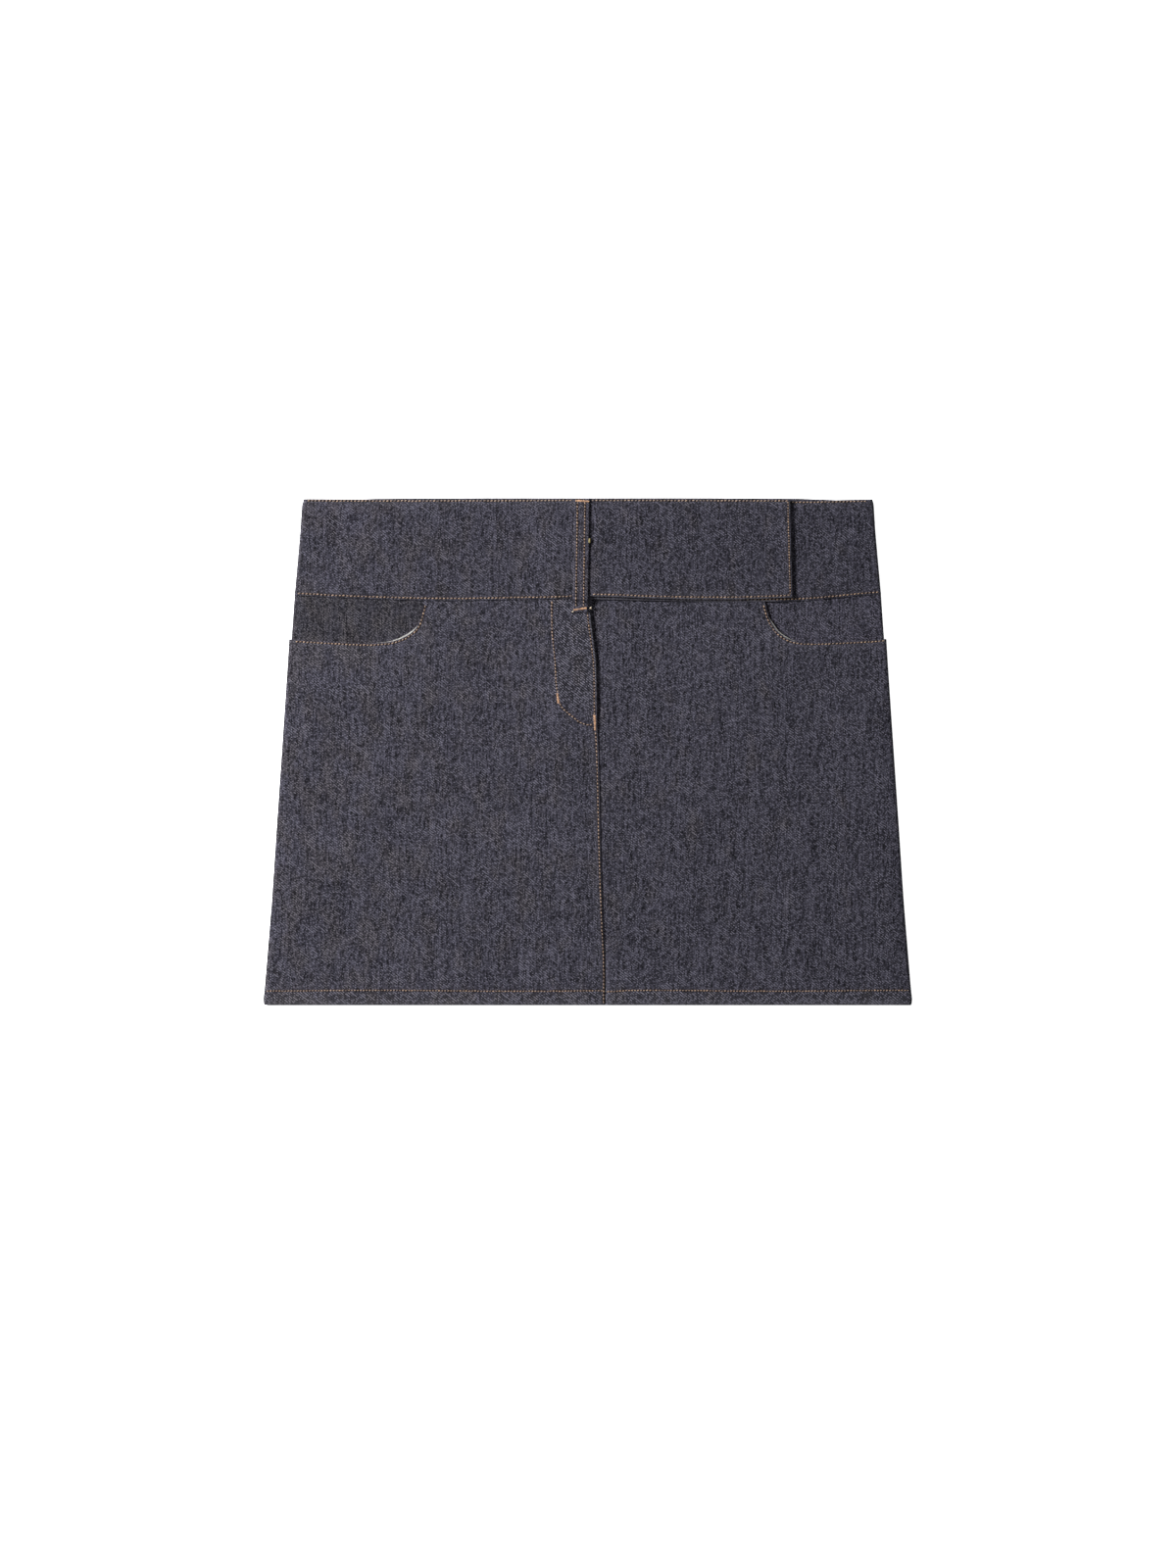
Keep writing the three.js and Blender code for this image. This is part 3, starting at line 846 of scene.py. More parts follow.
def resample(points, count):
    """The same line with evenly spaced points."""
    gone = [0.0]
    for a, b in zip(points, points[1:]):
        gone.append(gone[-1] + (b - a).length)
    wanted = np.linspace(0, gone[-1], count)
    xs = np.interp(wanted, gone, [p.x for p in points])
    ys = np.interp(wanted, gone, [p.y for p in points])
    return [Vector((float(x), float(y))) for x, y in zip(xs, ys)]


mouths = {-1: mouth_line(right_form, -1), 1: mouth_line(left_form, 1)}
for hand, line in mouths.items():
    print("mouth", hand, "is", round(length_of(line)), "mm long")


def turning_cloth(name, hand, facing_form):
    line = resample(mouths[hand], 70)
    marks, shown = PEEP[hand]
    outward = offset_line(line, -hand)

    def place(column, row):
        share = column / (len(line) - 1)
        peep = float(np.interp(share, marks, shown))
        out = (outward[column] - line[column]).normalized()
        spot = line[column] + out * lerp(-TURNING_DEEP, peep, row)
        base = facing_form.even(clamp(spot.x, -FACINGS_OUT, FACINGS_OUT), min(spot.y, FACINGS_TOP))
        z = base + TURNING_LIES + STANDS_UP[hand] * row + crease(spot.x, spot.y)
        return spot.x, spot.y, z, 0

    columns = range(len(line))
    return cloth(name, columns, [0, 0.4, 0.8, 0.9, 1], place, facing=-hand, thickness=TURNING_THICK)


right_turning = turning_cloth("right_mouth_turning", -1, solid("hip_facing_right"))
left_turning = turning_cloth("left_mouth_turning", 1, solid("hip_facing_left"))

# %% [markdown]
# ## Sewing
# A lockstitch shows as short lengths of thread with a dip between them. A tube along the row would look
# like cord, and a picture of stitches would stay flat. So one small bead of thread is shaped, and a copy is
# laid for each stitch, sunk a little into the cloth, with slight unevenness from a seeded random source.
# The same bead, pressed flat and painted near black, is the painted shade of the needle hole between two
# stitches. Bar tacks are beads laid crosswise and close together.

# %% One stitch
THREAD_RADIUS = 0.4
STITCH_PITCH = 2.45
STITCH_SHOWS = 0.66  # the share of the pitch that lies on top, before the thread dives into its hole
HOLE_LONG = 0.56
HOLE_WIDE = 1.5
HOLE_LIFT = 0.06  # the trough's sides would hide a hole that lay lower
SLANT = 0.3
BLUNT = 0.62  # rounds the bead's ends off into a capsule
TACK_PITCH = 0.62
TACK_RADIUS = 0.34


def bead_mesh():
    bm = bmesh.new()
    bmesh.ops.create_uvsphere(bm, u_segments=8, v_segments=6, radius=1)
    bmesh.ops.rotate(bm, matrix=Matrix.Rotation(math.pi / 2, 3, "Y"), verts=bm.verts)
    layer = bm.loops.layers.uv.new("thread")
    for vert in bm.verts:
        vert.co.x = math.copysign(abs(vert.co.x) ** BLUNT, vert.co.x)
    for face in bm.faces:
        face.smooth = True
        for loop in face.loops:
            co = loop.vert.co
            loop[layer].uv = ((co.x + 1) / 2, 0.5 + math.atan2(co.z, co.y) / (2 * math.pi))
    return keep_mesh(bm, "one_stitch")


BEAD = bead_mesh()
felt_cloths = {}


def felt(obj, facing=1):
    if obj.name not in felt_cloths:
        felt_cloths[obj.name] = Surface(obj.data, facing)
    return felt_cloths[obj.name]


class Sewing:
    """Collects stitches into one mesh."""

    def __init__(self, name, seed):
        self.name = name
        self.bm = bmesh.new()
        self.chance = random.Random(seed)
        self.count = 0
        self.laid = []

    def lay(self, spot, height, turn, long, radius, tall=0.85, finish=0):
        size = Matrix.Diagonal((long / 2, radius, radius * tall, 1))
        move = Matrix.Translation((spot[0], spot[1], height))
        matrix = Matrix.Scale(TO_METRES, 4) @ move @ Matrix.Rotation(turn, 4, "Z") @ size
        self.laid.append((matrix, finish))
        self.count += 1

    def sew(self):
        """Shapes the beads that were laid since the last time, in a small mesh of their own."""
        part = bmesh.new()
        for _ in self.laid:
            part.from_mesh(BEAD)
        verts, faces = list(part.verts), list(part.faces)
        verts_each, faces_each = len(BEAD.vertices), len(BEAD.polygons)
        for i, (matrix, finish) in enumerate(self.laid):
            for vert in verts[i * verts_each : (i + 1) * verts_each]:
                vert.co = matrix @ vert.co
            for face in faces[i * faces_each : (i + 1) * faces_each]:
                face.material_index = finish
        row = keep_mesh(part, "row")
        self.bm.from_mesh(row)
        bpy.data.meshes.remove(row)
        self.laid = []

    def row(self, points, on, pitch=STITCH_PITCH, sink=0.1, facing=1, shows=STITCH_SHOWS):
        """Stitches along a line, on the cloth's outer face. facing is -1 on the skirt's back."""
        number = max(2, round(length_of(points) / pitch))
        spots = resample(points, number * 2 + 1)
        surface = felt(on, facing)
        for i in range(number):
            a, middle, b = spots[2 * i], spots[2 * i + 1], spots[2 * i + 2]
            height = surface.touch(middle.x, middle.y)
            if height is None:
                continue
            turn = math.atan2(b.y - a.y, b.x - a.x)
            stray = self.chance.gauss(0, 0.05)
            spot = (middle.x - math.sin(turn) * stray, middle.y + math.cos(turn) * stray)
            turn += SLANT + self.chance.gauss(0, 0.07)
            long = pitch * shows * self.chance.uniform(0.9, 1.1)
            self.lay(spot, height + facing * (THREAD_RADIUS * 0.85 - sink), turn, long, THREAD_RADIUS)
            # the flat near-black bead laid over each needle hole is painted shade
            hole = surface.touch(b.x, b.y)
            if hole is not None and i < number - 1:
                lifted = hole + facing * HOLE_LIFT
                wide = THREAD_RADIUS * HOLE_WIDE
                self.lay(b, lifted, turn, pitch * HOLE_LONG, wide, tall=0.2, finish=1)
        self.sew()

    def tack(self, start, end, width, on):
        """A bar tack: close crosswise stitches over a short bar, with a width at each of its ends."""
        a, b = Vector(start), Vector(end)
        turn = math.atan2(b.y - a.y, b.x - a.x) + math.pi / 2
        surface = felt(on)
        number = max(4, round((b - a).length / TACK_PITCH))
        for i in range(number + 1):
            spot = a.lerp(b, i / number)
            height = surface.touch(spot.x, spot.y)
            if height is None:
                continue
            lean = 0.3 if i % 2 else -0.3
            wide = lerp(*width, i / number) * self.chance.uniform(0.8, 1.2)
            lift = TACK_RADIUS * self.chance.uniform(0.35, 0.6)
            self.lay(spot, height + lift, turn + lean + self.chance.gauss(0, 0.15), wide, TACK_RADIUS)
        self.sew()

    def finish(self):
        print(self.name, self.count, "stitches")
        return put_in_scene(self.name, keep_mesh(self.bm, self.name))


# %% [markdown]
# ## Where the rows run
# Top stitching keeps a constant distance from an edge, because the machine's foot is guided by it. So most
# rows are the felt outline, moved in by their distance. Only the J of the fly, the rows on the loop and the
# tacks have places of their own.

# %% Rows on the bands
def beside_edge(form, start, end, past, shift, step):
    """A line beside a band's edge. past is a height beyond it, and shift moves the line up."""
    return [
        Vector((x, form.edge((x, BAND_MIDDLE), (x, past)).y + shift))
        for x in stations(start, end, int(abs(end - start) / step) + 2)
    ]


def along_foot(form, start, end):
    return beside_edge(form, start, end, BELOW_BANDS, BAND_FOOT_STITCH, 4)


def along_top(form, start, end):
    return beside_edge(form, start, end, ABOVE_BANDS, -BAND_TOP_STITCH, 5)


right_band_form = solid("waistband_right")
left_band_form = solid("waistband_left")
tab_edges = Edges(right_band_form, 60, 107, 171, rows=20)
FOOT_PITCH = 2.55
band_sewing = Sewing("band_stitching", 11)
band_sewing.row(along_foot(right_band_form, -198.6, -10.4), right_band, pitch=FOOT_PITCH)
band_sewing.row(along_foot(right_band_form, 3.2, 138.4), right_band, pitch=FOOT_PITCH)
end_line = [Vector((tab_edges.at(y)[1] - TAB_END_STITCH, y)) for y in stations(107, 171, 12)]
band_sewing.row(end_line, right_band, pitch=1.9)
band_sewing.row(along_top(right_band_form, -192, -10.5), right_band)
band_sewing.row(along_top(right_band_form, 2.4, 137), right_band)
band_sewing.row(along_foot(left_band_form, 60, 199.2), left_band, pitch=FOOT_PITCH)
band_sewing.row(along_top(left_band_form, 60, 191), left_band)
band_stitching = band_sewing.finish()

# %% Rows on the fronts
J_STITCH = [(-24.6, 103), (-24.3, 82.5), (-22.4, 62.5), (-21.5, 45.6), (-20.3, 40)]
J_FOOT = [(-19.6, 33), (-17, 29.5), (-13.5, 26.4), (-9.2, 22.9), (-5, 19.8), (0, 18.3), (3.4, 18.4)]


def smooth_line(points, count=60):
    """A Catmull-Rom curve through a few given points."""
    dots = [Vector(p) for p in points]
    dots = [dots[0] * 2 - dots[1], *dots, dots[-1] * 2 - dots[-2]]
    curve = []
    for share in stations(0, len(points) - 1.0001, count):
        i = int(share)
        t = share - i
        a, b, c, d = dots[i : i + 4]
        bend = (a * 2 - b * 5 + c * 4 - d) * t * t + (b * 3 - a - c * 3 + d) * t**3
        curve.append((b * 2 + (c - a) * t + bend) / 2)
    return curve


def beside_centre(start, end, distance):
    """Down the right front's folded edge. distance gives the space to it at the line's two ends."""
    line = []
    for share in stations(0, 1, 40):
        y = lerp(start, end, share)
        line.append(Vector((centre_edge.at(y)[1] - lerp(*distance, share), y)))
    return line


UP_TO_BAND = 3  # a mouth's row runs on this far past the outline's last point, up to the band
front_sewing = Sewing("front_stitching", 23)
FLY_PITCH = 2.3
front_sewing.row(smooth_line(J_STITCH), right_front, pitch=FLY_PITCH, sink=0.2)
front_sewing.row(smooth_line(J_FOOT), right_front, pitch=FLY_PITCH)
SHORT_STITCH = STITCH_SHOWS * 0.86  # pulled tight beside the centre, so that more of each hole shows
fly_edge = beside_centre(101, 25, (2.2, 2.2))
front_sewing.row(fly_edge, right_front, pitch=FLY_PITCH, sink=0.22, shows=SHORT_STITCH)
front_sewing.row(beside_centre(13.6, -172.6, (1.7, 1.0)), right_front, sink=0.2, shows=SHORT_STITCH)
HEM_PITCH = 2.05
HEM_ROWS = [
    # cloth, from x, to x, length of its wave, dip at the centre seam
    (right_front, -220, 10.6, 31, 0),
    (left_front, 13, 220, 27, 0.8),
]
for front, start, end, wave, dip in HEM_ROWS:
    line = [
        Vector((x, SKIRT_FOOT + HEM_STITCH + 0.3 * math.sin(x / wave) - dip * bell(x - start - 3, 6)))
        for x in stations(start, end, 60)
    ]
    front_sewing.row(line, front, pitch=HEM_PITCH)

for hand, line in mouths.items():
    inner = offset_line(resample(line, 80), hand * MOUTH_STITCH)
    inner.append(inner[-1] + (inner[-1] - inner[-2]).normalized() * UP_TO_BAND)
    front_sewing.row(inner, right_front if hand < 0 else left_front)
front_stitching = front_sewing.finish()

# %% [markdown]
# ## The hidden back
# No photo shows the back, so it gets only the rows that every such skirt has: along the hem, the band's
# foot and the band's top. It lies on the table, so these stitches are pressed deep into their troughs.

# %% Rows on the back
PRESSED_IN = 0.3
back_band_form = solid("waistband_back", facing=-1)
back_sewing = Sewing("back_stitching", 29)
hem_line = [Vector((x, SKIRT_FOOT + HEM_STITCH)) for x in stations(-217, 217, 40)]
back_sewing.row(hem_line, back_panel, pitch=HEM_PITCH, sink=PRESSED_IN, facing=-1)
for line in (along_foot(back_band_form, -198, 198), along_top(back_band_form, -191, 191)):
    back_sewing.row(line, back_band, pitch=FOOT_PITCH, sink=PRESSED_IN, facing=-1)
back_stitching = back_sewing.finish()

# %% Rows on the belt loop and the bar tacks
loop_sewing = Sewing("loop_stitching", 37)
for low_x, high_x in ((-8.1, -6.9), (-2.75, -1.85)):
    loop_sewing.row([Vector((low_x, 99)), Vector((high_x, 170.6))], belt_loop, pitch=2.25)
loop_stitching = loop_sewing.finish()

tack_sewing = Sewing("bar_tacks", 41)
tack_sewing.tack((-7.9, 171.3), (0.8, 170.8), (1.6, 1.3), belt_loop)
tack_sewing.tack((-9.4, 96.8), (-1.0, 97.9), (1.3, 1.7), belt_loop)
tack_sewing.tack((-20.8, 39.6), (-19.9, 33.3), (1.6, 1.8), right_front)
tack_sewing.tack((4.6, 24.6), (5.1, 14.8), (2.4, 1.5), right_front)
bar_tacks = tack_sewing.finish()

# %% [markdown]
# ## Loose ends
# A few clipped ends of thread are left beside the loop: cream ones at its foot and a speck of ochre half
# way up. Each is so short that one bead of thread does for it.

# %% Loose ends beside the loop
ends_sewing = Sewing("loose_ends", 53)
LOOSE_ENDS = [
    # x, y, turn, length, radius, height, on, finish (0 cream, 1 ochre)
    (2.0, 98.1, 0.7, 1.7, 0.5, 0.5, right_front, 0),
    (2.5, 97.5, 2.3, 1.1, 0.32, 0.5, right_front, 0),
    (-10.2, 95.5, 0.3, 1.5, 0.42, 0.3, belt_loop, 0),
    (1.3, 143.9, 1.5, 3.4, 0.8, 1.1, right_band, 1),
]
for x, y, turn, long, radius, high, on, finish in LOOSE_ENDS:
    heights = [felt(on).touch(x - back, y) for back in (0, 0.8, 1.6, 2.4, 3.2)]
    below = next(z for z in heights if z is not None)
    ends_sewing.lay((x, y), below + high, turn, long, radius, finish=finish)
ends_sewing.sew()
loose_ends = ends_sewing.finish()

# %% [markdown]
# ## The shader kit
# Twill is counting: which yarn, which pick, and which of them is on top. Node by node that gets hard to
# read, so one small class lets a socket be added, multiplied and so on like a number. Everything else goes
# through one method that adds a node with its settings and inputs.

# %% Sockets that can be reckoned with
class Wire:
    """A shader socket that ordinary arithmetic can be written on."""

    def __init__(self, shader, socket):
        self.shader = shader
        self.socket = socket

    def out(self, name):
        """Another output of the same node."""
        return Wire(self.shader, self.socket.node.outputs[name])

    def reckon(self, operation, *others):
        values = {0: self}
        values.update({i + 1: other for i, other in enumerate(others)})
        return self.shader.node("ShaderNodeMath", {"operation": operation}, values)

    def __add__(self, other):
        return self.reckon("ADD", other)

    def __mul__(self, other):
        return self.reckon("MULTIPLY", other)

    def __sub__(self, other):
        return self.reckon("SUBTRACT", other)

    def __truediv__(self, other):
        return self.reckon("DIVIDE", other)

    def __rsub__(self, other):
        return self * -1 + other

    __radd__ = __add__
    __rmul__ = __mul__

    def floor(self):
        return self.reckon("FLOOR")

    def fract(self):
        return self.reckon("FRACT")

    def below(self, limit):
        return self.reckon("LESS_THAN", limit)

    def clamped(self):
        return self.shader.node("ShaderNodeClamp", {}, {0: self, 1: 0.0, 2: 1.0})


class Shader:
    """A new material and its nodes."""

    def __init__(self, name):
        self.material = bpy.data.materials.new(name)
        self.material.use_nodes = True
        self.nodes = self.material.node_tree.nodes
        self.links = self.material.node_tree.links
        self.nodes.clear()

    def node(self, kind, settings=None, inputs=None, output=0):
        """Adds a node: its settings first, then each input's value or link. Gives one of its outputs."""
        made = self.nodes.new(kind)
        for key, value in (settings or {}).items():
            setattr(made, key, value)
        for key, value in (inputs or {}).items():
            if isinstance(value, Wire):
                self.links.new(value.socket, made.inputs[key])
            else:
                made.inputs[key].default_value = value
        return Wire(self, made.outputs[output]) if len(made.outputs) else None

    def mix(self, share, first, second, way="MIX"):
        """Two colours mixed."""
        settings = {"data_type": "RGBA", "blend_type": way}
        return self.node("ShaderNodeMix", settings, {0: share, 6: first, 7: second}, output=2)

    def stretched(self, place, x, y, detail=2.0, seed=0.0):
        """Noise whose grain is x by y millimetres, as a value about one half."""
        scaled = self.node(
            "ShaderNodeVectorMath",
            {"operation": "MULTIPLY"},
            {0: place, 1: (TO_MM / x, TO_MM / y, 0.0)},
        )
        shift = (seed, seed * 0.7, seed)
        moved = self.node("ShaderNodeVectorMath", {"operation": "ADD"}, {0: scaled, 1: shift})
        return self.node("ShaderNodeTexNoise", {}, {"Vector": moved, "Scale": 1.0, "Detail": detail})

    def bump(self, height, strength=0.5):
        """Relief, from a height in millimetres."""
        inputs = {"Strength": strength, "Distance": TO_METRES, "Height": height}
        return self.node("ShaderNodeBump", {}, inputs)

    def finish(self, **sockets):
        """Closes the material with one Principled shader. A space in a socket's name is written as _."""
        inputs = {key.replace("_", " "): value for key, value in sockets.items()}
        skin = self.node("ShaderNodeBsdfPrincipled", {}, inputs)
        self.node("ShaderNodeOutputMaterial", {}, {0: skin})
        return self.material


def grey(value):
    return (value, value, value, 1)


# %% [markdown]
# ## Raw denim
# Denim is a twill. Here dark warp yarns run up the skirt, and each passes over two pale weft picks and
# under the third, one yarn further along each time, which draws fine diagonals. Warp yarns are spun
# uneven, so the cloth is streaked with slubs, and each length that lies on top is dark or light. Where the
# cloth is pressed hard, the twill is bolder. A picture would repeat and blur, so the weave is counted from
# the object's own coordinates.

# %% The denim material
YARN = 0.76  # from one warp yarn to the next
PICK = 0.583  # from one weft pick to the next
SHED = 3  # yarns in one repeat of the twill
UNEVEN = 3.2  # how sharply the yarn's lengths fall into dark and light ones
DARK_WARP = (0.001, 0.001, 0.002, 1)
LIGHT_WARP = (0.045, 0.043, 0.0595, 1)
PALE_WEFT = (0.14, 0.135, 0.168, 1)
WORN = (0.08, 0.077, 0.087, 1)


def denim(name, light=LIGHT_WARP, weft=PALE_WEFT):
    cloth_shader = Shader(name)
    place = cloth_shader.node("ShaderNodeTexCoord", output="Object")
    parts = cloth_shader.node("ShaderNodeSeparateXYZ", {}, {0: place})
    # which yarn and which pick a point lies on (they wander a little), and where the weft is on top
    drift = cloth_shader.stretched(place, 9, 9, 1.0, 3.0)
    yarns = parts * (TO_MM / YARN) + drift * 1.6
    picks = parts.out("Y") * (TO_MM / PICK) + drift * 1.2
    yarn, pick = yarns.floor(), picks.floor()
    step = yarn + pick
    over_weft = (step / SHED).fract().below(0.2)
    # chance: one value for each length of warp on top, and one for each crossing
    float_key = cloth_shader.node("ShaderNodeCombineXYZ", {}, {0: yarn, 1: (step / SHED).floor(), 2: 0.5})
    cell_key = cloth_shader.node("ShaderNodeCombineXYZ", {}, {0: yarn, 1: pick, 2: 1.5})
    each_float = cloth_shader.node("ShaderNodeTexWhiteNoise", {}, {0: float_key})
    each_cell = cloth_shader.node("ShaderNodeTexWhiteNoise", {}, {0: cell_key})
    fleck = cloth_shader.node("ShaderNodeSeparateColor", {}, {0: each_cell.out("Color")})
    # uneven spinning makes slubs and long streaks, and wear makes soft patches
    slub = cloth_shader.stretched(place, 0.9, 8, 2.0, 11.0)
    streak = cloth_shader.stretched(place, 1.8, 42, 2.0, 17.0)
    patch = cloth_shader.stretched(place, 16, 13, 3.0, 29.0)
    tinge = cloth_shader.stretched(place, 13, 24, 2.0, 31.0)
    # what the nets know: how near a seam is, and where the cloth is pressed hard
    near_seam = cloth_shader.node("ShaderNodeAttribute", {"attribute_name": "near_seam"}, output="Fac")
    taut = cloth_shader.node("ShaderNodeAttribute", {"attribute_name": "bold_twill"}, output="Fac")
    bold = (taut + (patch - 0.5) * 1.8 + 0.08).clamped()
    # the warp's shade, with specks of weft in it
    bright = (
        ((each_cell - 0.5) * UNEVEN + 0.5).clamped() * 0.34
        + (each_float - 0.5) * 0.12
        + (slub - 0.5) * 1.1
        + (streak - 0.5) * 0.7
        + (patch - 0.5) * 0.2
        + 0.12
        - bold * 0.22
    )
    warp = cloth_shader.mix(bright.clamped(), DARK_WARP, light)
    bright_pick = ((fleck - 0.5) * UNEVEN + 0.5).clamped()
    show = over_weft * ((1 - bold) * fleck * fleck * 0.4 + bold * (bright_pick * 0.5 + 0.14))
    woven = cloth_shader.mix(show, warp, weft)
    # a faint warm tinge, more of it towards the wearer's right
    ripe = ((tinge - parts * 0.5 - 0.51) * 5).clamped()
    tinged = cloth_shader.mix(ripe * 0.6, woven, (1.1, 1.03, 0.86, 1), "MULTIPLY")
    # rubbed paler along the seams
    fray = cloth_shader.stretched(place, 0.8, 2.6, 2.0, 41.0)
    edge = near_seam.reckon("POWER", 30)
    rubbed = near_seam * 0.1 + edge * 0.4
    colour = cloth_shader.mix((rubbed * (fray * 4 - 1.2).clamped()).clamped(), tinged, WORN)
    # relief in millimetres
    yarn_round = 1 - ((yarns.fract() - 0.5) * 2).reckon("POWER", 2)
    pucker = cloth_shader.stretched(place, 3.4, 3.4, 1.0, 53.0)
    relief = (
        yarn_round * (1 - over_weft * 0.8) * 0.06
        + each_float * 0.05
        + slub * 0.10
        + pucker * near_seam * 0.3
        + patch * 0.25
    )
    return cloth_shader.finish(
        Base_Color=colour,
        Roughness=0.8 + each_float * 0.15,
        Normal=cloth_shader.bump(relief),
        Specular_IOR_Level=0.06,
        Sheen_Weight=0.02,
        Sheen_Roughness=0.5,
        Sheen_Tint=(0.75, 0.78, 0.9, 1),
    )


denim_face = denim("raw_denim")
denim_back = denim("raw_denim_back")
# painted shade: the bands' copy is darker, against the stronger light that falls on the skirt's top
shaded_band_denim = denim("raw_denim_band_shaded", (0.041, 0.0392, 0.0545, 1), (0.132, 0.127, 0.16, 1))
# the right facing's copy is darker and the left one's lighter
right_pocket_denim = denim("right_facing_denim", (0.036, 0.034, 0.044, 1), (0.1, 0.096, 0.11, 1))
left_pocket_denim = denim("left_facing_denim", (0.05, 0.0473, 0.066, 1), (0.13, 0.124, 0.155, 1))

# %% [markdown]
# ## The reverse, the threads and the floor
# The reverse of denim shows mostly pale weft with dark specks of warp. Thread is a twisted yarn: its own
# map runs along each stitch, so slanting ridges follow it, and painted shade darkens it between its plies
# and at its ends, where it dives. A needle hole is painted nearly black, as the shade inside it. The floor
# is pale and glows a little, so that it stays white all over.

# %% Reverse of the denim
def reverse_denim(name, low, high, dark):
    back = Shader(name)
    place = back.node("ShaderNodeTexCoord", output="Object")
    parts = back.node("ShaderNodeSeparateXYZ", {}, {0: place})
    step = (parts * (TO_MM / YARN)).floor() - (parts.out("Y") * (TO_MM / PICK)).floor()
    speck = (step / SHED).fract().below(0.2)
    grain = back.stretched(place, 5, 0.6, 2.0, 7.0)
    pale = back.mix(((grain - 0.3) * 2).clamped(), low, high)
    colour = back.mix(speck * 0.7, pale, dark)
    relief = back.bump(grain * 0.1)
    return back.finish(Base_Color=colour, Roughness=0.9, Normal=relief, Specular_IOR_Level=0.2)


denim_reverse = reverse_denim(
    "denim_reverse",
    (0.42, 0.41, 0.4, 1),
    (0.68, 0.66, 0.62, 1),
    (0.09, 0.09, 0.12, 1),
)
mouth_reverse = reverse_denim(
    "mouth_reverse",
    (0.12, 0.118, 0.112, 1),
    (0.27, 0.262, 0.24, 1),
    (0.04, 0.039, 0.045, 1),
)


# %% Threads
def thread(name, shade, glow):
    yarn = Shader(name)
    along = yarn.node("ShaderNodeUVMap", {"uv_map": "thread"})
    parts = yarn.node("ShaderNodeSeparateXYZ", {}, {0: along})
    # the plies twist round the thread, so their ridges slant
    ply = (parts * 5 + parts.out("Y") * 2).fract()
    ridge = 1 - ((ply - 0.5) * 2).reckon("POWER", 2)
    place = yarn.node("ShaderNodeTexCoord", output="Object")
    tone = yarn.stretched(place, 1.6, 1.6, 2.0, 5.0)
    base = yarn.mix(((tone - 0.5) * 5 + 0.5).clamped(), shade, glow)
    # shade between the plies, and where the stitch dives into its hole
    dive = ((parts - 0.5) * 2).reckon("POWER", 4)
    deep = (shade[0] * 0.25, shade[1] * 0.2, shade[2] * 0.2, 1)
    colour = yarn.mix(((1 - ridge) * 0.4 + dive * 0.6).clamped(), base, deep)
    relief = yarn.bump(ridge * 0.08, strength=0.6)
    return yarn.finish(Base_Color=colour, Roughness=0.55, Normal=relief, Sheen_Weight=0.2)


# painted shade: a needle hole is near black for the shade inside it
def hole_shade_finish():
    shade = Shader("needle_hole_shade")
    place = shade.node("ShaderNodeTexCoord", output="Object")
    colour = shade.mix(shade.stretched(place, 1, 1), (0.002, 0.0015, 0.0015, 1), (0.012, 0.007, 0.005, 1))
    return shade.finish(Base_Color=colour, Roughness=0.95, Specular_IOR_Level=0.05)


needle_hole_shade = hole_shade_finish()
tan_thread = thread("tan_thread", (0.06, 0.031, 0.018, 1), (0.225, 0.138, 0.082, 1))
tack_thread = thread("tack_thread", (0.13, 0.06, 0.026, 1), (0.38, 0.205, 0.1, 1))
cream_thread = thread("cream_thread", (0.3, 0.24, 0.17, 1), (0.55, 0.48, 0.36, 1))
ochre_thread = thread("ochre_thread", (0.07, 0.05, 0.004, 1), (0.15, 0.115, 0.008, 1))


# %% Floor
def floor_finish():
    paper = Shader("pale_floor")
    place = paper.node("ShaderNodeTexCoord", output="Object")
    grain = paper.stretched(place, 3, 3, 3.0, 2.0)
    colour = paper.mix(grain, grey(0.9), grey(0.93))
    return paper.finish(
        Base_Color=colour,
        Roughness=0.9,
        Specular_IOR_Level=0.1,
        Emission_Color=grey(1),
        Emission_Strength=0.8,
    )


FLOOR_DROP = 0.3 * TO_METRES  # room for the stitches under the back
bm = bmesh.new()
bmesh.ops.create_grid(bm, x_segments=4, y_segments=4, size=4)
bmesh.ops.translate(bm, vec=(0, 0, -FLOOR_DROP), verts=bm.verts)
floor = put_in_scene("floor", keep_mesh(bm, "floor"))
floor.data.materials.append(floor_finish())
print("materials:", [m.name for m in bpy.data.materials])

# %% [markdown]
# ## Tie the pieces to the frame
# Each piece rides on the one body, takes its materials, and its CAD solid is hidden. The table also gives
# the flat size each cloth was cut to; the cut counts what is turned under.

# %% Cloth pieces
CUTS = [
    # piece, node, slot, width, length and area of the cut in mm, what it rests on
    (right_front, "front_right", "denim", 240, 290, 61500, ["back_panel_cloth", "right_facing_cloth"]),
    (left_front, "front_left", "denim", 256, 290, 62500, ["back_panel_cloth", "left_facing_cloth"]),
    (back_panel, "back_panel", "denim_back", 448, 292, 126000, ["floor"]),
    (right_facing, "hip_facing_right", "denim_facing", 122, 60, 6600, ["back_panel_cloth"]),
    (left_facing, "hip_facing_left", "denim_facing", 112, 60, 6000, ["back_panel_cloth"]),
    (
        right_band,
        "waistband_right",
        "denim",
        342,
        148,
        48500,
        ["left_waistband_cloth", "back_waistband_cloth"],
    ),
    (left_band, "waistband_left", "denim", 222, 148, 31500, ["back_waistband_cloth"]),
    (back_band, "waistband_back", "denim_back", 404, 150, 58500, ["floor"]),
    (belt_loop, "belt_loop", "denim", 22, 80, 1700, ["right_waistband_cloth", "right_front_cloth"]),
]
FACES = {"denim": denim_face, "denim_back": denim_back}
OWN_FACES = {  # the bands take a darker copy, and the facings a darker and a lighter one
    "waistband_right": shaded_band_denim,
    "waistband_left": shaded_band_denim,
    "hip_facing_right": right_pocket_denim,
    "hip_facing_left": left_pocket_denim,
}

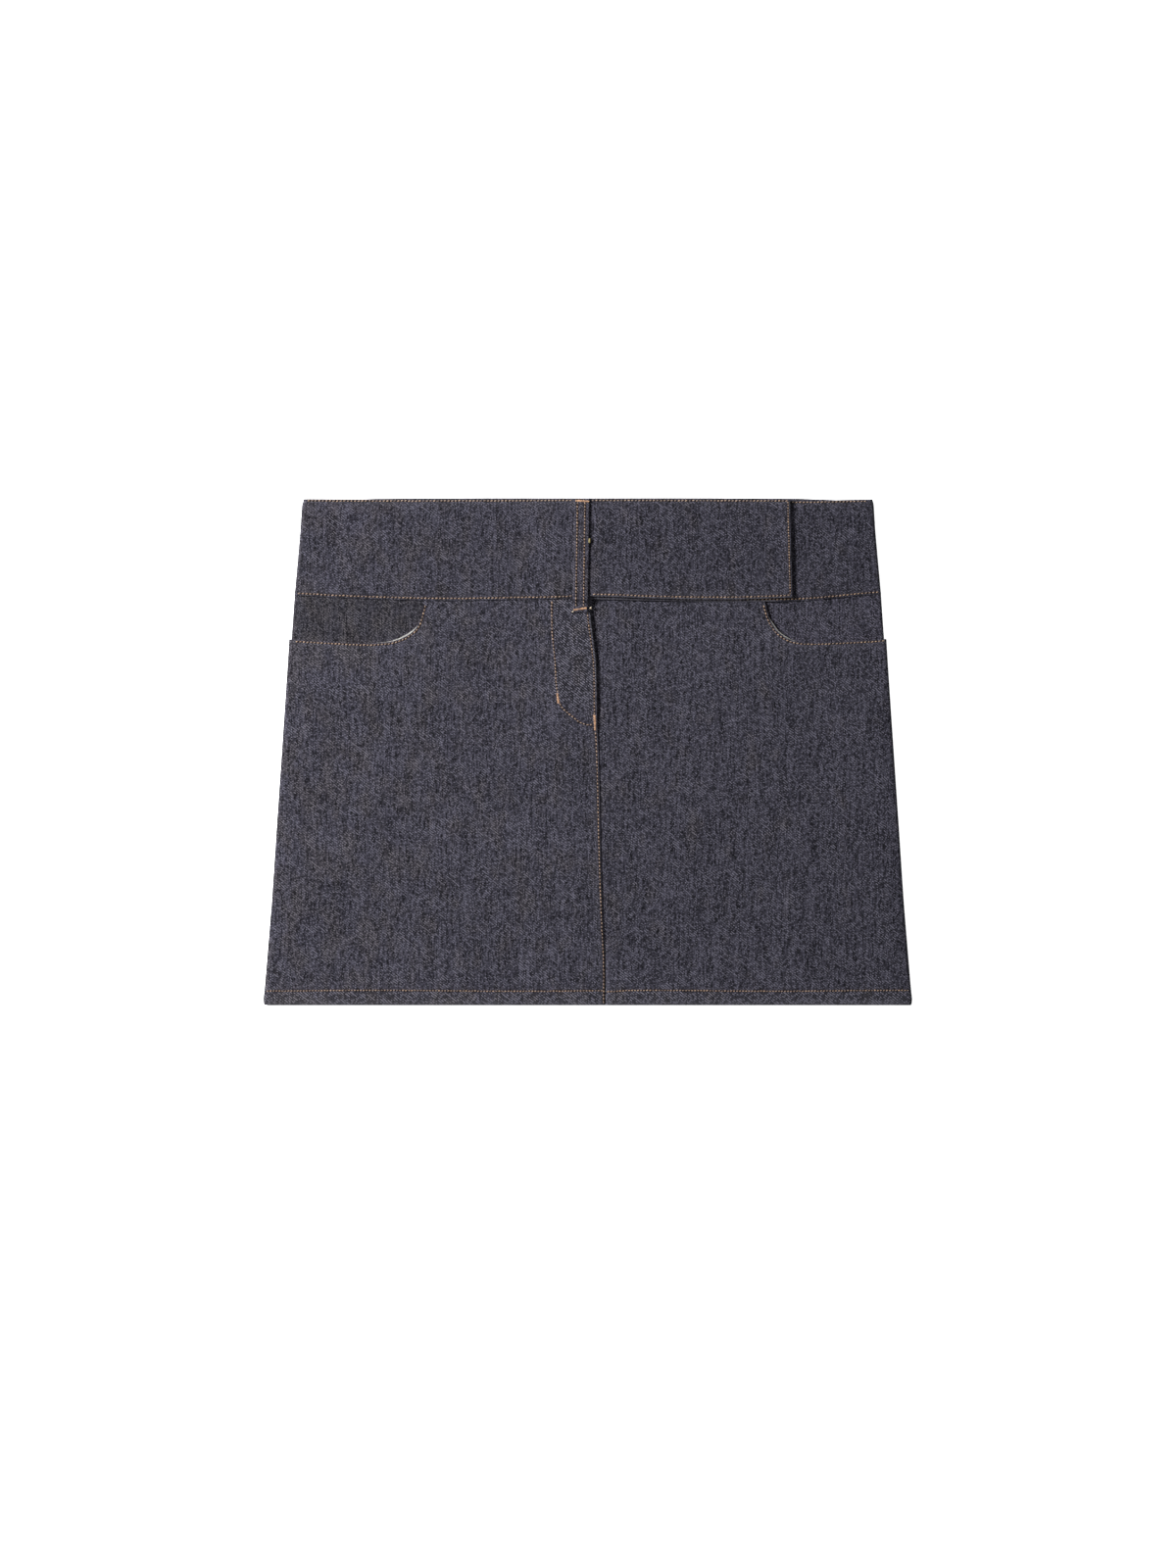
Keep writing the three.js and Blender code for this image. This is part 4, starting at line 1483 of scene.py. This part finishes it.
for piece, node, slot, width, length, area, under in CUTS:
    piece.data.materials.append(OWN_FACES.get(node) or FACES[slot])
    piece.data.materials.append(denim_reverse)
    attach(piece, "root")
    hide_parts(node)
    width * TO_METRES
    length * TO_METRES
    area * TO_METRES**2

for piece, under in ((right_turning, "right_facing_cloth"), (left_turning, "left_facing_cloth")):
    for _ in range(2):
        piece.data.materials.append(mouth_reverse)
    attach(piece, "root")

# %% Sewing
for piece, finish, beside, slot in (
    (band_stitching, tan_thread, needle_hole_shade, "thread"),
    (front_stitching, tan_thread, needle_hole_shade, "thread"),
    (loop_stitching, tan_thread, needle_hole_shade, "thread"),
    (back_stitching, tan_thread, needle_hole_shade, "thread"),
    (bar_tacks, tack_thread, needle_hole_shade, "tack_thread"),
    (loose_ends, cream_thread, ochre_thread, "thread"),
):
    piece.data.materials.append(finish)
    piece.data.materials.append(beside)
    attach(piece, "root")

# %% [markdown]
# ## Light and camera
# The photo is a studio shot from straight above: a broad light from the upper left, soft fill all round,
# and a white ground. A long lens keeps the sides of the skirt from showing.

# %% Light
def area_light(name, place, size, power):
    """A square light that looks at the middle of the skirt."""
    light = bpy.data.lights.new(name, "AREA")
    light.energy = power
    light.size = size
    obj = put_in_scene(name, light)
    obj.location = place
    obj.rotation_euler = (Vector() - Vector(place)).to_track_quat("-Z", "Y").to_euler()


area_light("window", (-1.6, 0.62, 1.06), 0.48, 172)
area_light("overhead", (0.2, 0.0, 2.6), 2.2, 14)
world = bpy.data.worlds.new("studio")
bpy.context.scene.world = world
world.use_nodes = True
world.node_tree.nodes["Background"].inputs["Color"].default_value = grey(1)
world.node_tree.nodes["Background"].inputs["Strength"].default_value = 0.3
bpy.context.scene.view_settings.view_transform = "Standard"

# %% Camera
FRAME_LONG = 1072  # the photo's long side covers this much of the table
LENS = 100
SENSOR = 36
camera_data = bpy.data.cameras.new("camera")
camera_data.lens = LENS
camera_data.sensor_width = SENSOR
camera = put_in_scene("camera", camera_data)
camera.location = (0.2 * TO_METRES, -22.2 * TO_METRES, FRAME_LONG * TO_METRES * LENS / SENSOR + 0.004)
bpy.context.scene.camera = camera
